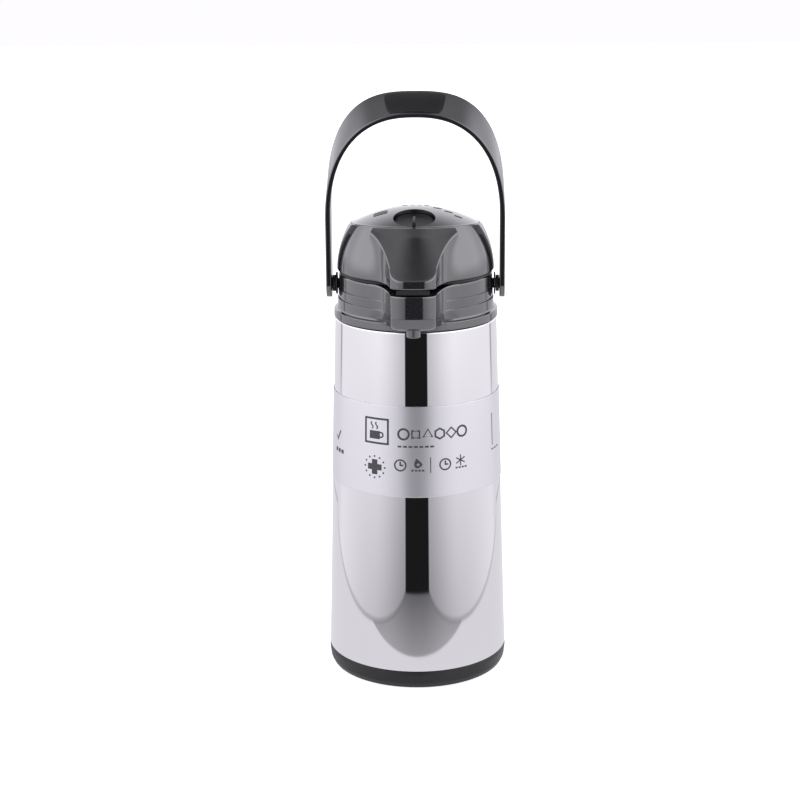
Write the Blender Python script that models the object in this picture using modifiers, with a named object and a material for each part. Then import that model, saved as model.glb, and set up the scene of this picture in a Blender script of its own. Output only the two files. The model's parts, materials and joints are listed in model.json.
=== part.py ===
"""A vacuum pump pot with a hinged pump lid, a lock dial, a latch and a swinging bail handle.

The pot stands on z = 0 with its pouring nose towards -Y. Every dimension below is in
millimetres, and the mesh helpers turn them into metres.
"""

import math

import bmesh
import bpy
import numpy as np
from mathutils import Matrix, Vector

MM = 0.001
GAP = 0.3

# Casing and base
CASING_BOTTOM_Z = 15.5
CASING_TOP_Z = 289.6
CASING_BOTTOM_R = 72.0
CASING_TOP_R = 64.0
CASING_WALL = 0.8
BASE_HOLE_R = 32.5
PLUG_FOOT_R = 11.5
LABEL_Z = (159.3, 231.7)
LABEL_GAP = 0.15
LABEL_THICKNESS = 0.25

# Flask
FLASK_R = 59.0
FLASK_NECK_R = 27.0
FLASK_LIP_Z = 288.3
GLASS = 1.3
PIP_HOLE_R = 4.5

# Collar, the shoulder that holds the lid
COLLAR_BOTTOM_Z = CASING_TOP_Z + GAP
COLLAR_TOP_Z = 324.4
COLLAR_NOSE_DIP = 2.4
COLLAR_FLANGE_R = 64.6
COLLAR_WELL_R = 56.0
NOSE_UNDERSIDE_Z = 297.0

# The nose shared by collar and lid, seen from above
NOSE_REACH = 88.0
NOSE_HALF_WIDTH = 17.6
NOSE_SHOULDER = 78.0
NOSE_ROOT = 46.0
NOSE_FLARE = 8.0
NOSE_STEP = 0.8
NOSE_END_POWER = 2.6
CHIN_BOTTOM_Z = 294.0
CHIN_ROUND = 7.0
CHIN_INSET = 14.0

# Lid
LID_BOTTOM_Z = 327.4
LID_BOTTOM_R = 61.7
LEDGE_Z = 363.4
LEDGE_R = 51.5
LEDGE_SLOPE = 0.08
BUTTON_HOLE_R = 50.2
HOOD_TIP_Z = 333.5
HINGE_Y = 64.5
HINGE_Z = 325.0
EYE_R = 4.0
EYE_FOOT_SETBACK = 0.6
COLLAR_EAR_X = ((-15.0, -9.0), (9.0, 15.0))
LID_EAR_X = (-8.6, 8.6)
HINGE_PIN_R = 1.6
SCREW_CIRCLE_R = 54.9
SCREW_ANGLES = (45.0, 135.0, 215.0, 325.0)

# Push button and pump
BUTTON_R = 49.8
BUTTON_RISE = 13.2
BUTTON_WALL = 2.2
BUTTON_SKIRT_Z = 346.0
BELLOWS_Z = (330.6, 354.5)
DIAL_Y = -33.0
DIAL_R = 15.6
DIAL_TILT = math.radians(15.0)
DIAL_RECESS = 6.4
DIAL_REST = 6.1
DIAL_THICKNESS = 1.7

# Spout and stopper
PIPE_R = 4.2
PIPE_Z = 312.6
SPOUT_Y = -77.0
NOZZLE_R = 5.2
NOZZLE_Z = (289.4, 317.4)
DIP_TUBE_R = 5.0
BALL_R = 4.3
BALL_Z = 300.8

# Latch
LATCH_PIVOT = (0.0, -80.5, 331.5)
LATCH_PIN_R = 1.0

# Bail handle
PIVOT_Z = 315.0
ARM_INNER_X = 65.8
ARM_OUTER_X = 70.0
ARM_END_R = 11.0
ARM_HEIGHTS = (304.2, 305.6, 308.5, 312.0, PIVOT_Z, 325.0, 345.0)
ARM_TIP_HALF = 0.63
ARCH_BASE_Z = 365.0
ARCH_STEPS = 26
ARCH_HALF_DEPTH = 9.5
ARCH_INNER_RISE = 80.3
ARCH_INNER_POWER = 2.4
ARCH_OUTER_RISE = 99.5
ARCH_OUTER_POWER = 2.85
STRAP_THICKNESS = 4.2
CROWN_THICKNESS = 3.2
GRIP_SHARES = (0.425, 0.575)
GRIP_ACROSS = (0.14, 0.86)
GRIP_LIFT = (0.3, 1.0)
PIVOT_BORE_R = 4.3

COLLECTION = bpy.data.collections.new("pump_pot")
CUTTERS = bpy.data.collections.new("cutters")


# ---------------------------------------------------------------- scene and materials

def clear_scene():
    for obj in list(bpy.data.objects):
        bpy.data.objects.remove(obj)
    bpy.context.scene.collection.children.link(COLLECTION)
    bpy.context.scene.collection.children.link(CUTTERS)


def plastic(name, colour, roughness):
    return finish(name, colour, roughness, 0.0)


def metal(name, colour, roughness):
    return finish(name, colour, roughness, 1.0)


def finish(name, colour, roughness, metallic):
    material = bpy.data.materials.get(name)
    if material is None:
        material = bpy.data.materials.new(name)
        material.use_nodes = True
        shader = material.node_tree.nodes["Principled BSDF"]
        shader.inputs["Base Color"].default_value = (*colour, 1.0)
        shader.inputs["Roughness"].default_value = roughness
        shader.inputs["Metallic"].default_value = metallic
    return material


def gloss_black():
    return plastic("gloss_black", (0.02, 0.02, 0.023), 0.12)


def satin_black():
    return plastic("satin_black", (0.018, 0.018, 0.02), 0.45)


def grey_plastic():
    return plastic("grey_plastic", (0.42, 0.42, 0.43), 0.35)


def white_plastic():
    return plastic("white_plastic", (0.8, 0.8, 0.78), 0.4)


def polished_steel():
    return metal("polished_steel", (0.78, 0.78, 0.79), 0.08)


def wire_steel():
    return metal("wire_steel", (0.55, 0.55, 0.57), 0.3)


def label_paper():
    return plastic("label_paper", (0.62, 0.62, 0.64), 0.5)


def flask_glass():
    return finish("flask_glass", (0.82, 0.84, 0.86), 0.05, 0.6)


def rubber():
    return plastic("rubber", (0.03, 0.03, 0.03), 0.8)


def silicone():
    return plastic("silicone", (0.75, 0.74, 0.7), 0.6)


# ---------------------------------------------------------------- mesh helpers

def place(name, mesh, material, collection=COLLECTION):
    """Put a mesh, already at its place in metres, into the model as a named object."""
    obj = bpy.data.objects.new(name, mesh)
    collection.objects.link(obj)
    if material is not None:
        mesh.materials.append(material)
    return obj


def shade_round(mesh, angle=35.0):
    mesh.shade_smooth()
    mesh.set_sharp_from_angle(angle=math.radians(angle))


def mesh_from_bmesh(name, bm):
    mesh = bpy.data.meshes.new(name)
    bm.to_mesh(mesh)
    bm.free()
    return mesh


def turned(name, material, profile, segments=40, closed=True, collection=COLLECTION):
    """Turn a profile of (radius, z) about Z; its outer side runs from top to bottom."""
    mesh = bpy.data.meshes.new(name)
    count = len(profile)
    edges = [(i, i + 1) for i in range(count - 1)]
    if closed:
        edges.append((count - 1, 0))
    mesh.from_pydata([(r * MM, 0.0, z * MM) for r, z in profile], edges, [])
    obj = place(name, mesh, material, collection)
    screw = obj.modifiers.new("turn", "SCREW")
    screw.angle = math.tau
    screw.steps = segments
    screw.render_steps = segments
    screw.use_merge_vertices = True
    screw.merge_threshold = 0.00001
    screw.use_smooth_shade = True
    return obj


def loft(name, material, rows, capped=False, collection=COLLECTION):
    """Join closed rows of points into one skin: round on itself, or capped at both ends."""
    bm = bmesh.new()
    grid = [[bm.verts.new(Vector(p) * MM) for p in row] for row in rows]
    width = len(grid[0])
    last = len(grid) - 1 if capped else len(grid)
    for i in range(last):
        low, high = grid[i], grid[(i + 1) % len(grid)]
        for j in range(width):
            k = (j + 1) % width
            bm.faces.new((low[j], low[k], high[k], high[j]))
    if capped:
        bm.faces.new(grid[0])
        bm.faces.new(grid[-1])
    bmesh.ops.recalc_face_normals(bm, faces=bm.faces)
    mesh = mesh_from_bmesh(name, bm)
    shade_round(mesh)
    return place(name, mesh, material, collection)


def box(name, material, low, high, collection=COLLECTION):
    bm = bmesh.new()
    bmesh.ops.create_cube(bm, size=1.0)
    low, high = Vector(low), Vector(high)
    size, middle = high - low, (low + high) / 2
    for vertex in bm.verts:
        x, y, z = vertex.co
        vertex.co = Vector((x * size.x, y * size.y, z * size.z)) * MM + middle * MM
    return place(name, mesh_from_bmesh(name, bm), material, collection)


def rod(name, material, radius, start, end, segments=20, collection=COLLECTION):
    """A cylinder between two points."""
    start, end = Vector(start), Vector(end)
    bm = bmesh.new()
    bmesh.ops.create_cone(
        bm, cap_ends=True, segments=segments, radius1=radius * MM, radius2=radius * MM,
        depth=(end - start).length * MM)
    turn = (end - start).to_track_quat("Z", "Y").to_matrix().to_4x4()
    bmesh.ops.transform(bm, matrix=turn, verts=bm.verts)
    bmesh.ops.translate(bm, vec=(start + end) / 2 * MM, verts=bm.verts)
    mesh = mesh_from_bmesh(name, bm)
    shade_round(mesh)
    return place(name, mesh, material, collection)


def tube_curve(name, material, points, radius, fill=True):
    """A round bar along points, as a curve with a bevel."""
    curve = bpy.data.curves.new(name, "CURVE")
    curve.dimensions = "3D"
    curve.bevel_depth = radius * MM
    curve.bevel_resolution = 2
    curve.use_fill_caps = fill
    spline = curve.splines.new("POLY")
    spline.points.add(len(points) - 1)
    for point, co in zip(spline.points, points):
        point.co = (*(Vector(co) * MM), 1.0)
    curve.materials.append(material)
    obj = bpy.data.objects.new(name, curve)
    COLLECTION.objects.link(obj)
    return obj


def hollow_pipe(name, material, points, radius, wall):
    """A pipe along points, open at both ends."""
    obj = tube_curve(name, material, points, radius, fill=False)
    shell = obj.modifiers.new("wall", "SOLIDIFY")
    shell.thickness = wall * MM
    shell.offset = -1.0
    shell.use_even_offset = True
    return obj


def combine(obj, other, operation):
    """Cut or join obj with another solid, which then stays hidden among the cutters."""
    for collection in list(other.users_collection):
        collection.objects.unlink(other)
    CUTTERS.objects.link(other)
    other.hide_render = True
    other.display_type = "WIRE"
    boolean = obj.modifiers.new(operation.lower(), "BOOLEAN")
    boolean.operation = operation
    boolean.object = other
    boolean.solver = "EXACT"
    return obj


def cut(obj, *cutters):
    for cutter in cutters:
        combine(obj, cutter, "DIFFERENCE")
    return obj


def join(obj, *others):
    for other in others:
        combine(obj, other, "UNION")
    return obj


def hang(name, point, *pieces):
    """Carry moving pieces on an empty that stands on their joint's axis."""
    empty = bpy.data.objects.new(name, None)
    empty.location = Vector(point) * MM
    COLLECTION.objects.link(empty)
    for piece in pieces:
        piece.parent = empty
        piece.matrix_parent_inverse = Matrix.Translation(-empty.location)


def coil(centre, radius, low, high, turns, steps=12):
    """Points of a helix about a vertical axis."""
    count = int(turns * steps) + 1
    points = []
    for i in range(count):
        t = i / (count - 1)
        angle = math.tau * turns * t
        x = centre[0] + radius * math.cos(angle)
        y = centre[1] + radius * math.sin(angle)
        points.append((x, y, low + (high - low) * t))
    return points


# ---------------------------------------------------------------- shared outlines

def casing_radius(z):
    share = (z - CASING_BOTTOM_Z) / (CASING_TOP_Z - CASING_BOTTOM_Z)
    return CASING_BOTTOM_R + (CASING_TOP_R - CASING_BOTTOM_R) * share


def head_angles():
    """Angles from the front (-Y) around the head, closer together across the nose."""
    front = np.linspace(-42.0, 42.0, 23)
    rest = np.linspace(42.0, 318.0, 28)[1:-1]
    return np.radians(np.concatenate((front, rest)))


def nose_radius(angles):
    """Distance from the axis to the nose's plan outline: a round end, then a hollow flare."""
    a = np.linspace(0.0, math.pi / 2, 40)
    power = 2.0 / NOSE_END_POWER
    end_x = NOSE_HALF_WIDTH * np.sin(a) ** power
    end_d = NOSE_SHOULDER + (NOSE_REACH - NOSE_SHOULDER) * np.cos(a) ** power
    d = np.linspace(NOSE_SHOULDER, NOSE_ROOT, 40)[1:]
    u = (NOSE_SHOULDER - d) / (NOSE_SHOULDER - NOSE_ROOT)
    side_x = NOSE_HALF_WIDTH + NOSE_FLARE * (u + u * u)
    x = np.concatenate((end_x, side_x))
    d = np.concatenate((end_d, d))
    folded = np.abs((angles + math.pi) % math.tau - math.pi)
    return np.interp(folded, np.arctan2(x, d), np.hypot(x, d), right=0.0)


def soft_max(a, b, reach):
    """The larger of two values, rounded where they cross."""
    return np.maximum(a, b) + np.maximum(reach - np.abs(a - b), 0.0) ** 2 / (4 * reach)


def soft_min(a, b, reach):
    return -soft_max(-a, -b, reach)


def ring(angles, radii, heights):
    """One closed row of points about the Z axis, with the angle measured from the front."""
    radii = np.broadcast_to(radii, angles.shape)
    heights = np.broadcast_to(heights, angles.shape)
    x, y = radii * np.sin(angles), -radii * np.cos(angles)
    return np.stack((x, y, heights), axis=1).tolist()


# ---------------------------------------------------------------- base and body

def build_base():
    """The base cup, and a screw plug whose middle foot stands level with the cup's ring."""
    foot = [
        (68.0, 21.0), (70.6, 21.0), (70.7, CASING_BOTTOM_Z - GAP), (72.0, CASING_BOTTOM_Z - GAP),
        (72.2, 12.0), (71.4, 5.0), (69.6, 1.2), (67.5, 0.0), (60.0, 0.0), (58.5, 1.5),
        (BASE_HOLE_R, 1.5), (BASE_HOLE_R, 9.0), (36.0, 9.0), (37.0, 4.5), (68.0, 4.5)]
    turned("base_cup", satin_black(), foot, 48)
    rim = BASE_HOLE_R - GAP
    plug = turned("base_plug", satin_black(), [
        (0, 8.6), (rim, 8.6), (rim, 1.8), (26.0, 1.8), (25.0, 4.4), (PLUG_FOOT_R + 0.4, 4.4),
        (PLUG_FOOT_R, 0.0), (0, 0.0)], 40, closed=False)
    join(plug, box("plug_grip", None, (-25.6, -3.0, 2.0), (25.6, 3.0, 5.2)))
    turned(
        "flask_cushion", rubber(),
        [(20.5, 21.7), (38.0, 24.9), (40.0, 24.0), (40.0, 9.4), (20.0, 9.4)], 32)


def build_casing():
    inner_low = CASING_BOTTOM_R - CASING_WALL
    inner_high = CASING_TOP_R - CASING_WALL
    turned("steel_casing", polished_steel(), [
        (58.0, CASING_TOP_Z), (63.5, CASING_TOP_Z), (CASING_TOP_R, CASING_TOP_Z - 0.6),
        (CASING_BOTTOM_R, CASING_BOTTOM_Z), (inner_low, CASING_BOTTOM_Z),
        (inner_high, CASING_TOP_Z - CASING_WALL), (58.0, CASING_TOP_Z - CASING_WALL)], 48)
    low, high = LABEL_Z
    near, far = LABEL_GAP, LABEL_GAP + LABEL_THICKNESS
    turned("label_band", label_paper(), [
        (casing_radius(high) + near, high), (casing_radius(high) + far, high),
        (casing_radius(low) + far, low), (casing_radius(low) + near, low)], 48)


def build_flask():
    """Two glass walls joined at the lip, with the space between them open at the pip hole."""
    vacuum_out = FLASK_R - GLASS
    vacuum_in = vacuum_out - 1.4
    drink = vacuum_in - GLASS
    neck = FLASK_NECK_R
    turned("glass_flask", flask_glass(), [
        (neck + 0.6, FLASK_LIP_Z - 0.6), (neck + 2.0, FLASK_LIP_Z), (neck + 4.0, FLASK_LIP_Z - 1.3),
        (neck + 4.0, 281.0), (41.0, 271.0), (54.0, 257.0), (FLASK_R, 236.0),
        (FLASK_R, 60.0), (55.0, 40.0), (40.0, 27.5), (PIP_HOLE_R, 22.0),
        (PIP_HOLE_R, 23.3), (39.5, 28.7), (53.8, 40.8), (vacuum_out, 60.0),
        (vacuum_out, 236.0), (52.9, 256.2), (40.2, 269.8), (neck + 2.7, 280.2),
        (neck + 2.0, 286.3), (neck + 1.3, 280.0), (39.2, 268.6), (51.6, 255.2),
        (vacuum_in, 236.0), (vacuum_in, 60.0), (52.4, 42.0), (38.6, 30.6),
        (0.0, 26.2), (0.0, 27.5), (38.0, 31.9), (51.2, 42.8), (drink, 60.0),
        (drink, 236.0), (50.3, 254.4), (38.4, 267.4), (neck, 279.4)], 28)
    turned(
        "flask_seal_tip", flask_glass(),
        [(0, 24.4), (3.2, 24.2), (3.9, 23.0), (3.6, 21.4), (1.4, 18.6), (0, 17.8)], 16, closed=False)


def build_neck():
    turned(
        "neck_gasket", silicone(),
        [(27.6, 291.0), (32.6, 291.0), (32.6, 288.7), (27.6, 288.7)], 32)


# ---------------------------------------------------------------- collar, hinge and pivots

def hinge_ear(name, x_range, z_range, root_y):
    """A knuckle round the hinge axis with a foot that runs into its wall."""
    low, high = x_range
    eye = rod(name, None, EYE_R, (low, HINGE_Y, HINGE_Z), (high, HINGE_Y, HINGE_Z))
    back_y = HINGE_Y + EYE_R - EYE_FOOT_SETBACK
    foot = box(name + "_foot", None, (low, root_y, z_range[0]), (high, back_y, z_range[1]))
    return [eye, foot]


def hinge_rod(name, material, radius, half_length):
    """A round bar on the hinge axis: the pin, or the bore that it runs in."""
    left, right = (-half_length, HINGE_Y, HINGE_Z), (half_length, HINGE_Y, HINGE_Z)
    return rod(name, material, radius, left, right, 16)


def collar_outside(angles):
    """Rows up the collar: a flange, the nose's round chin, then three tiers out into the nose."""
    nose = nose_radius(angles)
    rows = [ring(angles, r, z) for z, r in ((COLLAR_BOTTOM_Z, 64.0), (290.5, COLLAR_FLANGE_R))]
    chin = [
        (CHIN_BOTTOM_Z, COLLAR_FLANGE_R), (294.6, COLLAR_FLANGE_R), (296.4, COLLAR_FLANGE_R),
        (NOSE_UNDERSIDE_Z, 63.6), (297.2, 61.5)]
    tiers = [
        (299.5, 61.4), (305.8, 61.2), (306.2, 60.7), (313.0, 60.6), (313.4, 60.2),
        (collar_top(nose), 60.0)]
    for z, r in chin + tiers:
        reach = nose - NOSE_STEP - chin_inset(z)
        rows.append(ring(angles, soft_max(r + 0 * angles, reach, 3.0), z))
    return rows


def chin_inset(z):
    """How far the underside of the nose draws in below its straight front."""
    below = np.clip((CHIN_BOTTOM_Z + CHIN_ROUND - z) / CHIN_ROUND, 0.0, 1.0)
    return CHIN_INSET * (1.0 - np.sqrt(1.0 - below ** 2))


def collar_top(nose):
    """The rim dips across the nose, where the latch needs room."""
    return COLLAR_TOP_Z - COLLAR_NOSE_DIP * np.clip((nose - 60.0) / 20.0, 0.0, 1.0)


def build_collar():
    angles = head_angles()
    rows = collar_outside(angles)
    rows.append(ring(angles, COLLAR_WELL_R + 0.5, collar_top(nose_radius(angles))))
    inner = [
        (306.0, COLLAR_WELL_R), (305.0, 31.0), (303.0, 28.2), (291.4, 28.2), (291.4, 33.0),
        (301.5, 35.0), (301.5, 55.0), (284.0, 55.0), (284.0, 57.4), (COLLAR_BOTTOM_Z, 57.4)]
    rows += [ring(angles, r, z) for z, r in inner]
    collar = loft("collar", gloss_black(), rows)
    for x_range in COLLAR_EAR_X:
        join(collar, *hinge_ear(f"collar_ear_{x_range[0]:.0f}", x_range, (309.0, 322.0), 59.0))
    cut(
        collar,
        rod("nozzle_bore", None, NOZZLE_R + 0.5, (0, SPOUT_Y, 290.0), (0, SPOUT_Y, 315.0)),
        box("pipe_channel", None, (-6.6, SPOUT_Y, 307.4), (6.6, -50.0, 340.0)),
        rod("channel_end", None, 6.6, (0, SPOUT_Y, 307.4), (0, SPOUT_Y, 340.0)))
    for side in (-1, 1):
        ends = (side * 50.0, 0, PIVOT_Z), (side * 70.0, 0, PIVOT_Z)
        cut(collar, rod(f"pivot_bore_{side}", None, 4.4, *ends))
    join(collar, box("latch_bar", None, (-7.4, -71.0, 319.2), (7.4, -69.0, 321.6)))
    cut(collar, hinge_rod("hinge_bore", None, HINGE_PIN_R + GAP, 20.0))
    hinge_rod("hinge_pin", wire_steel(), HINGE_PIN_R, 15.6)


def build_handle_pivots():
    """Shouldered pins through the arms, each with a bush between the arm and the collar."""
    for side, word in ((-1, "left"), (1, "right")):
        pin = turned(f"handle_pin_{word}", satin_black(), [
            (0, 70.0), (3.6, 70.0), (4.0, 69.6), (4.0, 65.5), (6.5, 65.5), (6.5, 63.0),
            (4.0, 63.0), (4.0, 55.6), (5.6, 55.2), (4.8, 52.6), (0, 52.6)], 20, closed=False)
        bush = turned(
            f"handle_bush_{word}", satin_black(),
            [(4.4, 62.7), (8.6, 62.7), (9.0, 62.3), (9.0, 61.5), (4.4, 61.5)], 24)
        for obj in (pin, bush):
            obj.rotation_euler = (0, side * math.pi / 2, 0)
            obj.location = (0, 0, PIVOT_Z * MM)


# ---------------------------------------------------------------- stopper, spout and flask tube

def build_stopper():
    stopper = turned("stopper", white_plastic(), [
        (0, 321.0), (19.0, 321.0), (20.0, 320.0), (20.0, 308.2), (30.4, 308.2), (30.4, 305.5),
        (27.6, 303.2), (26.2, 301.0), (26.2, 288.6), (24.4, 288.6), (24.4, 284.0), (26.2, 284.0),
        (26.2, 280.0), (0, 280.0)], 28, closed=False)
    riser = rod("riser", None, 5.4, (0, 0, 270.0), (0, 0, PIPE_Z + 4.0))
    outlet = rod("outlet", None, PIPE_R + 0.4, (0, 0, PIPE_Z), (0, -40.0, PIPE_Z))
    ports = [rod(f"air_port_{s}", None, 2.0, (s * 12.0, 4.0, 270.0), (s * 12.0, 4.0, 330.0), 12)
             for s in (-1, 1)]
    cut(stopper, riser, outlet, *ports)
    turned(
        "stopper_ring", silicone(),
        [(24.8, 288.2), (26.6, 287.6), (26.6, 285.0), (24.8, 284.4)], 32)
    tube_points = [(0, 0, 36.0), (0, 0, 160.0), (0, 0, 296.0)]
    hollow_pipe("dip_tube", white_plastic(), tube_points, DIP_TUBE_R, 1.2)
    sphere = bmesh.new()
    bmesh.ops.create_uvsphere(sphere, u_segments=16, v_segments=10, radius=BALL_R * MM)
    mesh = mesh_from_bmesh("valve_ball", sphere)
    shade_round(mesh)
    ball = place("valve_ball", mesh, wire_steel())
    ball.location = (0, 0, BALL_Z * MM)
    hollow_pipe(
        "pour_pipe", grey_plastic(),
        [(0, -9.0, PIPE_Z), (0, -40.0, PIPE_Z), (0, -73.0, PIPE_Z)], PIPE_R, 1.1)
    build_nozzle()
    return ball


def build_nozzle():
    """An elbow socket that takes the pipe, ending in the drip nozzle below the nose."""
    low, high = (0, SPOUT_Y, NOZZLE_Z[0]), (0, SPOUT_Y, NOZZLE_Z[1])
    nozzle = rod("spout_nozzle", grey_plastic(), NOZZLE_R, low, high, 28)
    drop = rod("drop_bore", None, 4.2, (0, SPOUT_Y, 280.0), (0, SPOUT_Y, 315.4), 24)
    socket = rod("socket_bore", None, PIPE_R + 0.3, (0, SPOUT_Y, PIPE_Z), (0, -60.0, PIPE_Z), 24)
    cut(nozzle, drop, socket)


# ---------------------------------------------------------------- lid

def lid_radius(share):
    """Dome radius, from the lower edge (share 0) to the ledge (share 1)."""
    return LEDGE_R + (LID_BOTTOM_R - LEDGE_R) * (1.0 - share ** 1.9) ** 0.95


def ledge_height(angles, radius):
    return LEDGE_Z + LEDGE_SLOPE * radius * np.cos(angles)


def lid_row(angles, nose, share):
    """One row of the lid: the dome, with the hood's sloping face standing out over the nose."""
    top = ledge_height(angles, LEDGE_R)
    z = LID_BOTTOM_Z + (top - LID_BOTTOM_Z) * share
    hood_top = LEDGE_Z + LEDGE_SLOPE * LEDGE_R
    reach = np.clip((hood_top - z) / (hood_top - HOOD_TIP_Z), 0.0, 1.0) * (NOSE_REACH - LEDGE_R)
    hood = LEDGE_R + reach / np.maximum(np.cos(angles), 0.5)
    ridge = soft_min(hood, np.where(nose > 0, nose, 0.0), 1.6)
    return ring(angles, soft_max(np.full_like(angles, lid_radius(share)), ridge, 2.5), z)


def build_lid_shell():
    angles = head_angles()
    nose = nose_radius(angles)
    shares = (0.0, 0.09, 0.18, 0.32, 0.46, 0.6, 0.74, 0.87, 0.96, 1.0)
    rows = [lid_row(angles, nose, s) for s in shares]
    rows.append(ring(angles, BUTTON_HOLE_R, ledge_height(angles, BUTTON_HOLE_R) - 0.3))
    inner = [
        (357.6, BUTTON_HOLE_R), (356.4, 52.2), (350.0, 54.3), (338.0, 57.3), (LID_BOTTOM_Z, 58.4)]
    rows += [ring(angles, r, z) for z, r in inner]
    shell = loft("lid_shell", gloss_black(), rows)
    for index, (x, y) in enumerate(screw_places()):
        join(shell, rod(f"lid_boss_{index}", None, 2.7, (x, y, 330.6), (x, y, 344.0), 12))
        cut(shell, rod(f"boss_hole_{index}", None, 1.5, (x, y, 320.0), (x, y, 341.0), 10))
    cavity = box("latch_cavity", None, (-7.5, -83.4, 320.0), (7.5, -53.0, 335.0))
    pin_bore = latch_rod("latch_pin_bore", None, LATCH_PIN_R + GAP, 12.4)
    join(shell, *hinge_ear("lid_ear", LID_EAR_X, (325.0, 333.0), 60.6))
    cut(shell, cavity, pin_bore, hinge_rod("ear_bore", None, HINGE_PIN_R + GAP, 20.0))
    return shell


def screw_places():
    """Where the four lid screws stand."""
    angles = [math.radians(a) for a in SCREW_ANGLES]
    return [(SCREW_CIRCLE_R * math.cos(a), SCREW_CIRCLE_R * math.sin(a)) for a in angles]


def build_lid_base():
    """The tray that closes the lid from below and guides the push button, with its fittings."""
    tray = turned("lid_base", satin_black(), [
        (50.4, 355.6), (51.6, 355.6), (51.6, 330.2), (57.4, 330.2), (57.4, LID_BOTTOM_Z),
        (21.0, LID_BOTTOM_Z), (21.0, 322.6), (19.2, 322.6), (19.2, LID_BOTTOM_Z),
        (5.0, LID_BOTTOM_Z), (5.0, 330.2), (50.4, 330.2)], 36)
    pieces = [tray]
    for index, (x, y) in enumerate(screw_places()):
        cut(tray, rod(f"screw_hole_{index}", None, 1.6, (x, y, 320.0), (x, y, 340.0), 10))
        screw = turned(f"lid_screw_{index + 1}", wire_steel(), [
            (0, 340.4), (0.6, 340.4), (1.2, 339.0), (1.2, 327.1), (2.4, 327.1), (2.0, 325.6),
            (0, 325.6)], 12, closed=False)
        screw.location = (x * MM, y * MM, 0)
        pieces.append(screw)
    pieces.append(turned(
        "pump_gasket", silicone(),
        [(11.6, 327.1), (18.9, 327.1), (18.9, 322.4), (16.0, 321.3), (13.0, 322.4)], 28))
    pieces.append(turned(
        "lid_seal", rubber(),
        [(58.2, 327.1), (59.8, 327.1), (60.2, 326.0), (59.8, 324.8), (58.2, 324.8)], 40))
    pieces.append(turned(
        "air_valve", silicone(),
        [(0, 331.6), (6.8, 331.4), (6.8, 330.5), (2.2, 330.5), (2.2, 327.0), (0, 327.0)], 16,
        closed=False))
    return pieces


def build_bellows():
    """A concertina with a constant wall, and the return spring inside it."""
    low, high = BELLOWS_Z
    folds = 3
    outer_r, inner_r, wall = 43.0, 34.0, 1.1
    step = (high - low - 2 * wall) / (2 * folds)
    outside = [(outer_r - 3.0, high)]
    inside = [(outer_r - 3.0 - 2 * wall, high)]
    for i in range(2 * folds + 1):
        z = high - wall - i * step
        r = inner_r if i % 2 else outer_r
        outside.append((r, z))
        inside.append((r - 2 * wall, z))
    outside.append((outer_r - 3.0, low))
    inside.append((outer_r - 3.0 - 2 * wall, low))
    bellows = turned("bellows", rubber(), outside + inside[::-1], 28)
    wire = 0.8
    helix = coil((0, 0), 24.0, low + wire + GAP, high - wire - GAP, 4.0, 10)
    return [bellows, tube_curve("bellows_spring", wire_steel(), helix, wire)]


# ---------------------------------------------------------------- push button and lock

def button_height(x, y):
    """Height of the button's domed top, whose rim slopes with the ledge."""
    share = (x * x + y * y) / (BUTTON_R * BUTTON_R)
    return LEDGE_Z - LEDGE_SLOPE * y + BUTTON_RISE * (1.0 - share)


def button_rows():
    angles = np.radians(np.linspace(0.0, 360.0, 37)[:-1])
    x, y = np.sin(angles), -np.cos(angles)
    rows = []
    for r in (2.0, 20.0, 34.0, 44.0, 48.8, BUTTON_R):
        rows.append(ring(angles, r, button_height(r * x, r * y) - (0.8 if r == BUTTON_R else 0.0)))
    rows.append(ring(angles, BUTTON_R, BUTTON_SKIRT_Z))
    inner_r = BUTTON_R - BUTTON_WALL
    rows.append(ring(angles, inner_r, BUTTON_SKIRT_Z))
    for r in (inner_r, 36.0, 20.0, 2.0):
        rows.append(ring(angles, r, button_height(r * x, r * y) - BUTTON_WALL - 0.4))
    return rows


def dial_point(along, up):
    """A point on the dial's tilted axis: up along it, and along the slope towards the front."""
    y = DIAL_Y - math.cos(DIAL_TILT) * along - math.sin(DIAL_TILT) * up
    z = button_height(0, DIAL_Y) - math.sin(DIAL_TILT) * along + math.cos(DIAL_TILT) * up
    return (0, y, z)


def build_button():
    button = loft("push_button", gloss_black(), button_rows(), capped=True)
    well = rod("dial_well", None, DIAL_R + 3.0, dial_point(0, -8.6), dial_point(0, 2.2), 36)
    floor = dial_point(0, -DIAL_RECESS)
    recess = rod("dial_recess", None, DIAL_R + 0.6, floor, dial_point(0, 14.0), 36)
    shaft = rod("dial_shaft_hole", None, 3.4, dial_point(0, -14.0), dial_point(0, 2.0), 16)
    limit = loft("button_envelope", None, button_rows()[:7], capped=True, collection=CUTTERS)
    combine(well, limit, "INTERSECT")
    join(button, well)
    cut(button, recess, shaft)
    post = turned("plate_post", None, [
        (0, 373.0), (4.0, 373.0), (4.0, 356.0), (0, 356.0)], 16, closed=False)
    plate = turned("bellows_plate", satin_black(), [
        (0, 356.6), (44.0, 356.6), (44.0, 354.8), (0, 354.8)], 32, closed=False)
    join(plate, post)
    return [button, plate]


def build_lock():
    """The dial with its finger tab, and the cam on its stem under the button's skin."""
    low, high = dial_point(0, -DIAL_REST), dial_point(0, DIAL_THICKNESS - DIAL_REST)
    dial = rod("lock_dial", satin_black(), DIAL_R, low, high, 36)
    stem = rod("dial_stem", None, 3.0, dial_point(0, -11.0), dial_point(0, -5.0), 16)
    tab = box("dial_tab", None, (-1.3, -5.5, -5.0), (1.3, 5.5, 1.6))
    tab.location = Vector(dial_point(8.0, 0)) * MM
    tab.rotation_euler = (DIAL_TILT, 0, 0)
    join(dial, stem, tab)
    cam = rod("lock_cam", satin_black(), 6.5, dial_point(0, -13.0), dial_point(0, -11.3), 20)
    return [dial, cam]


# ---------------------------------------------------------------- latch

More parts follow.
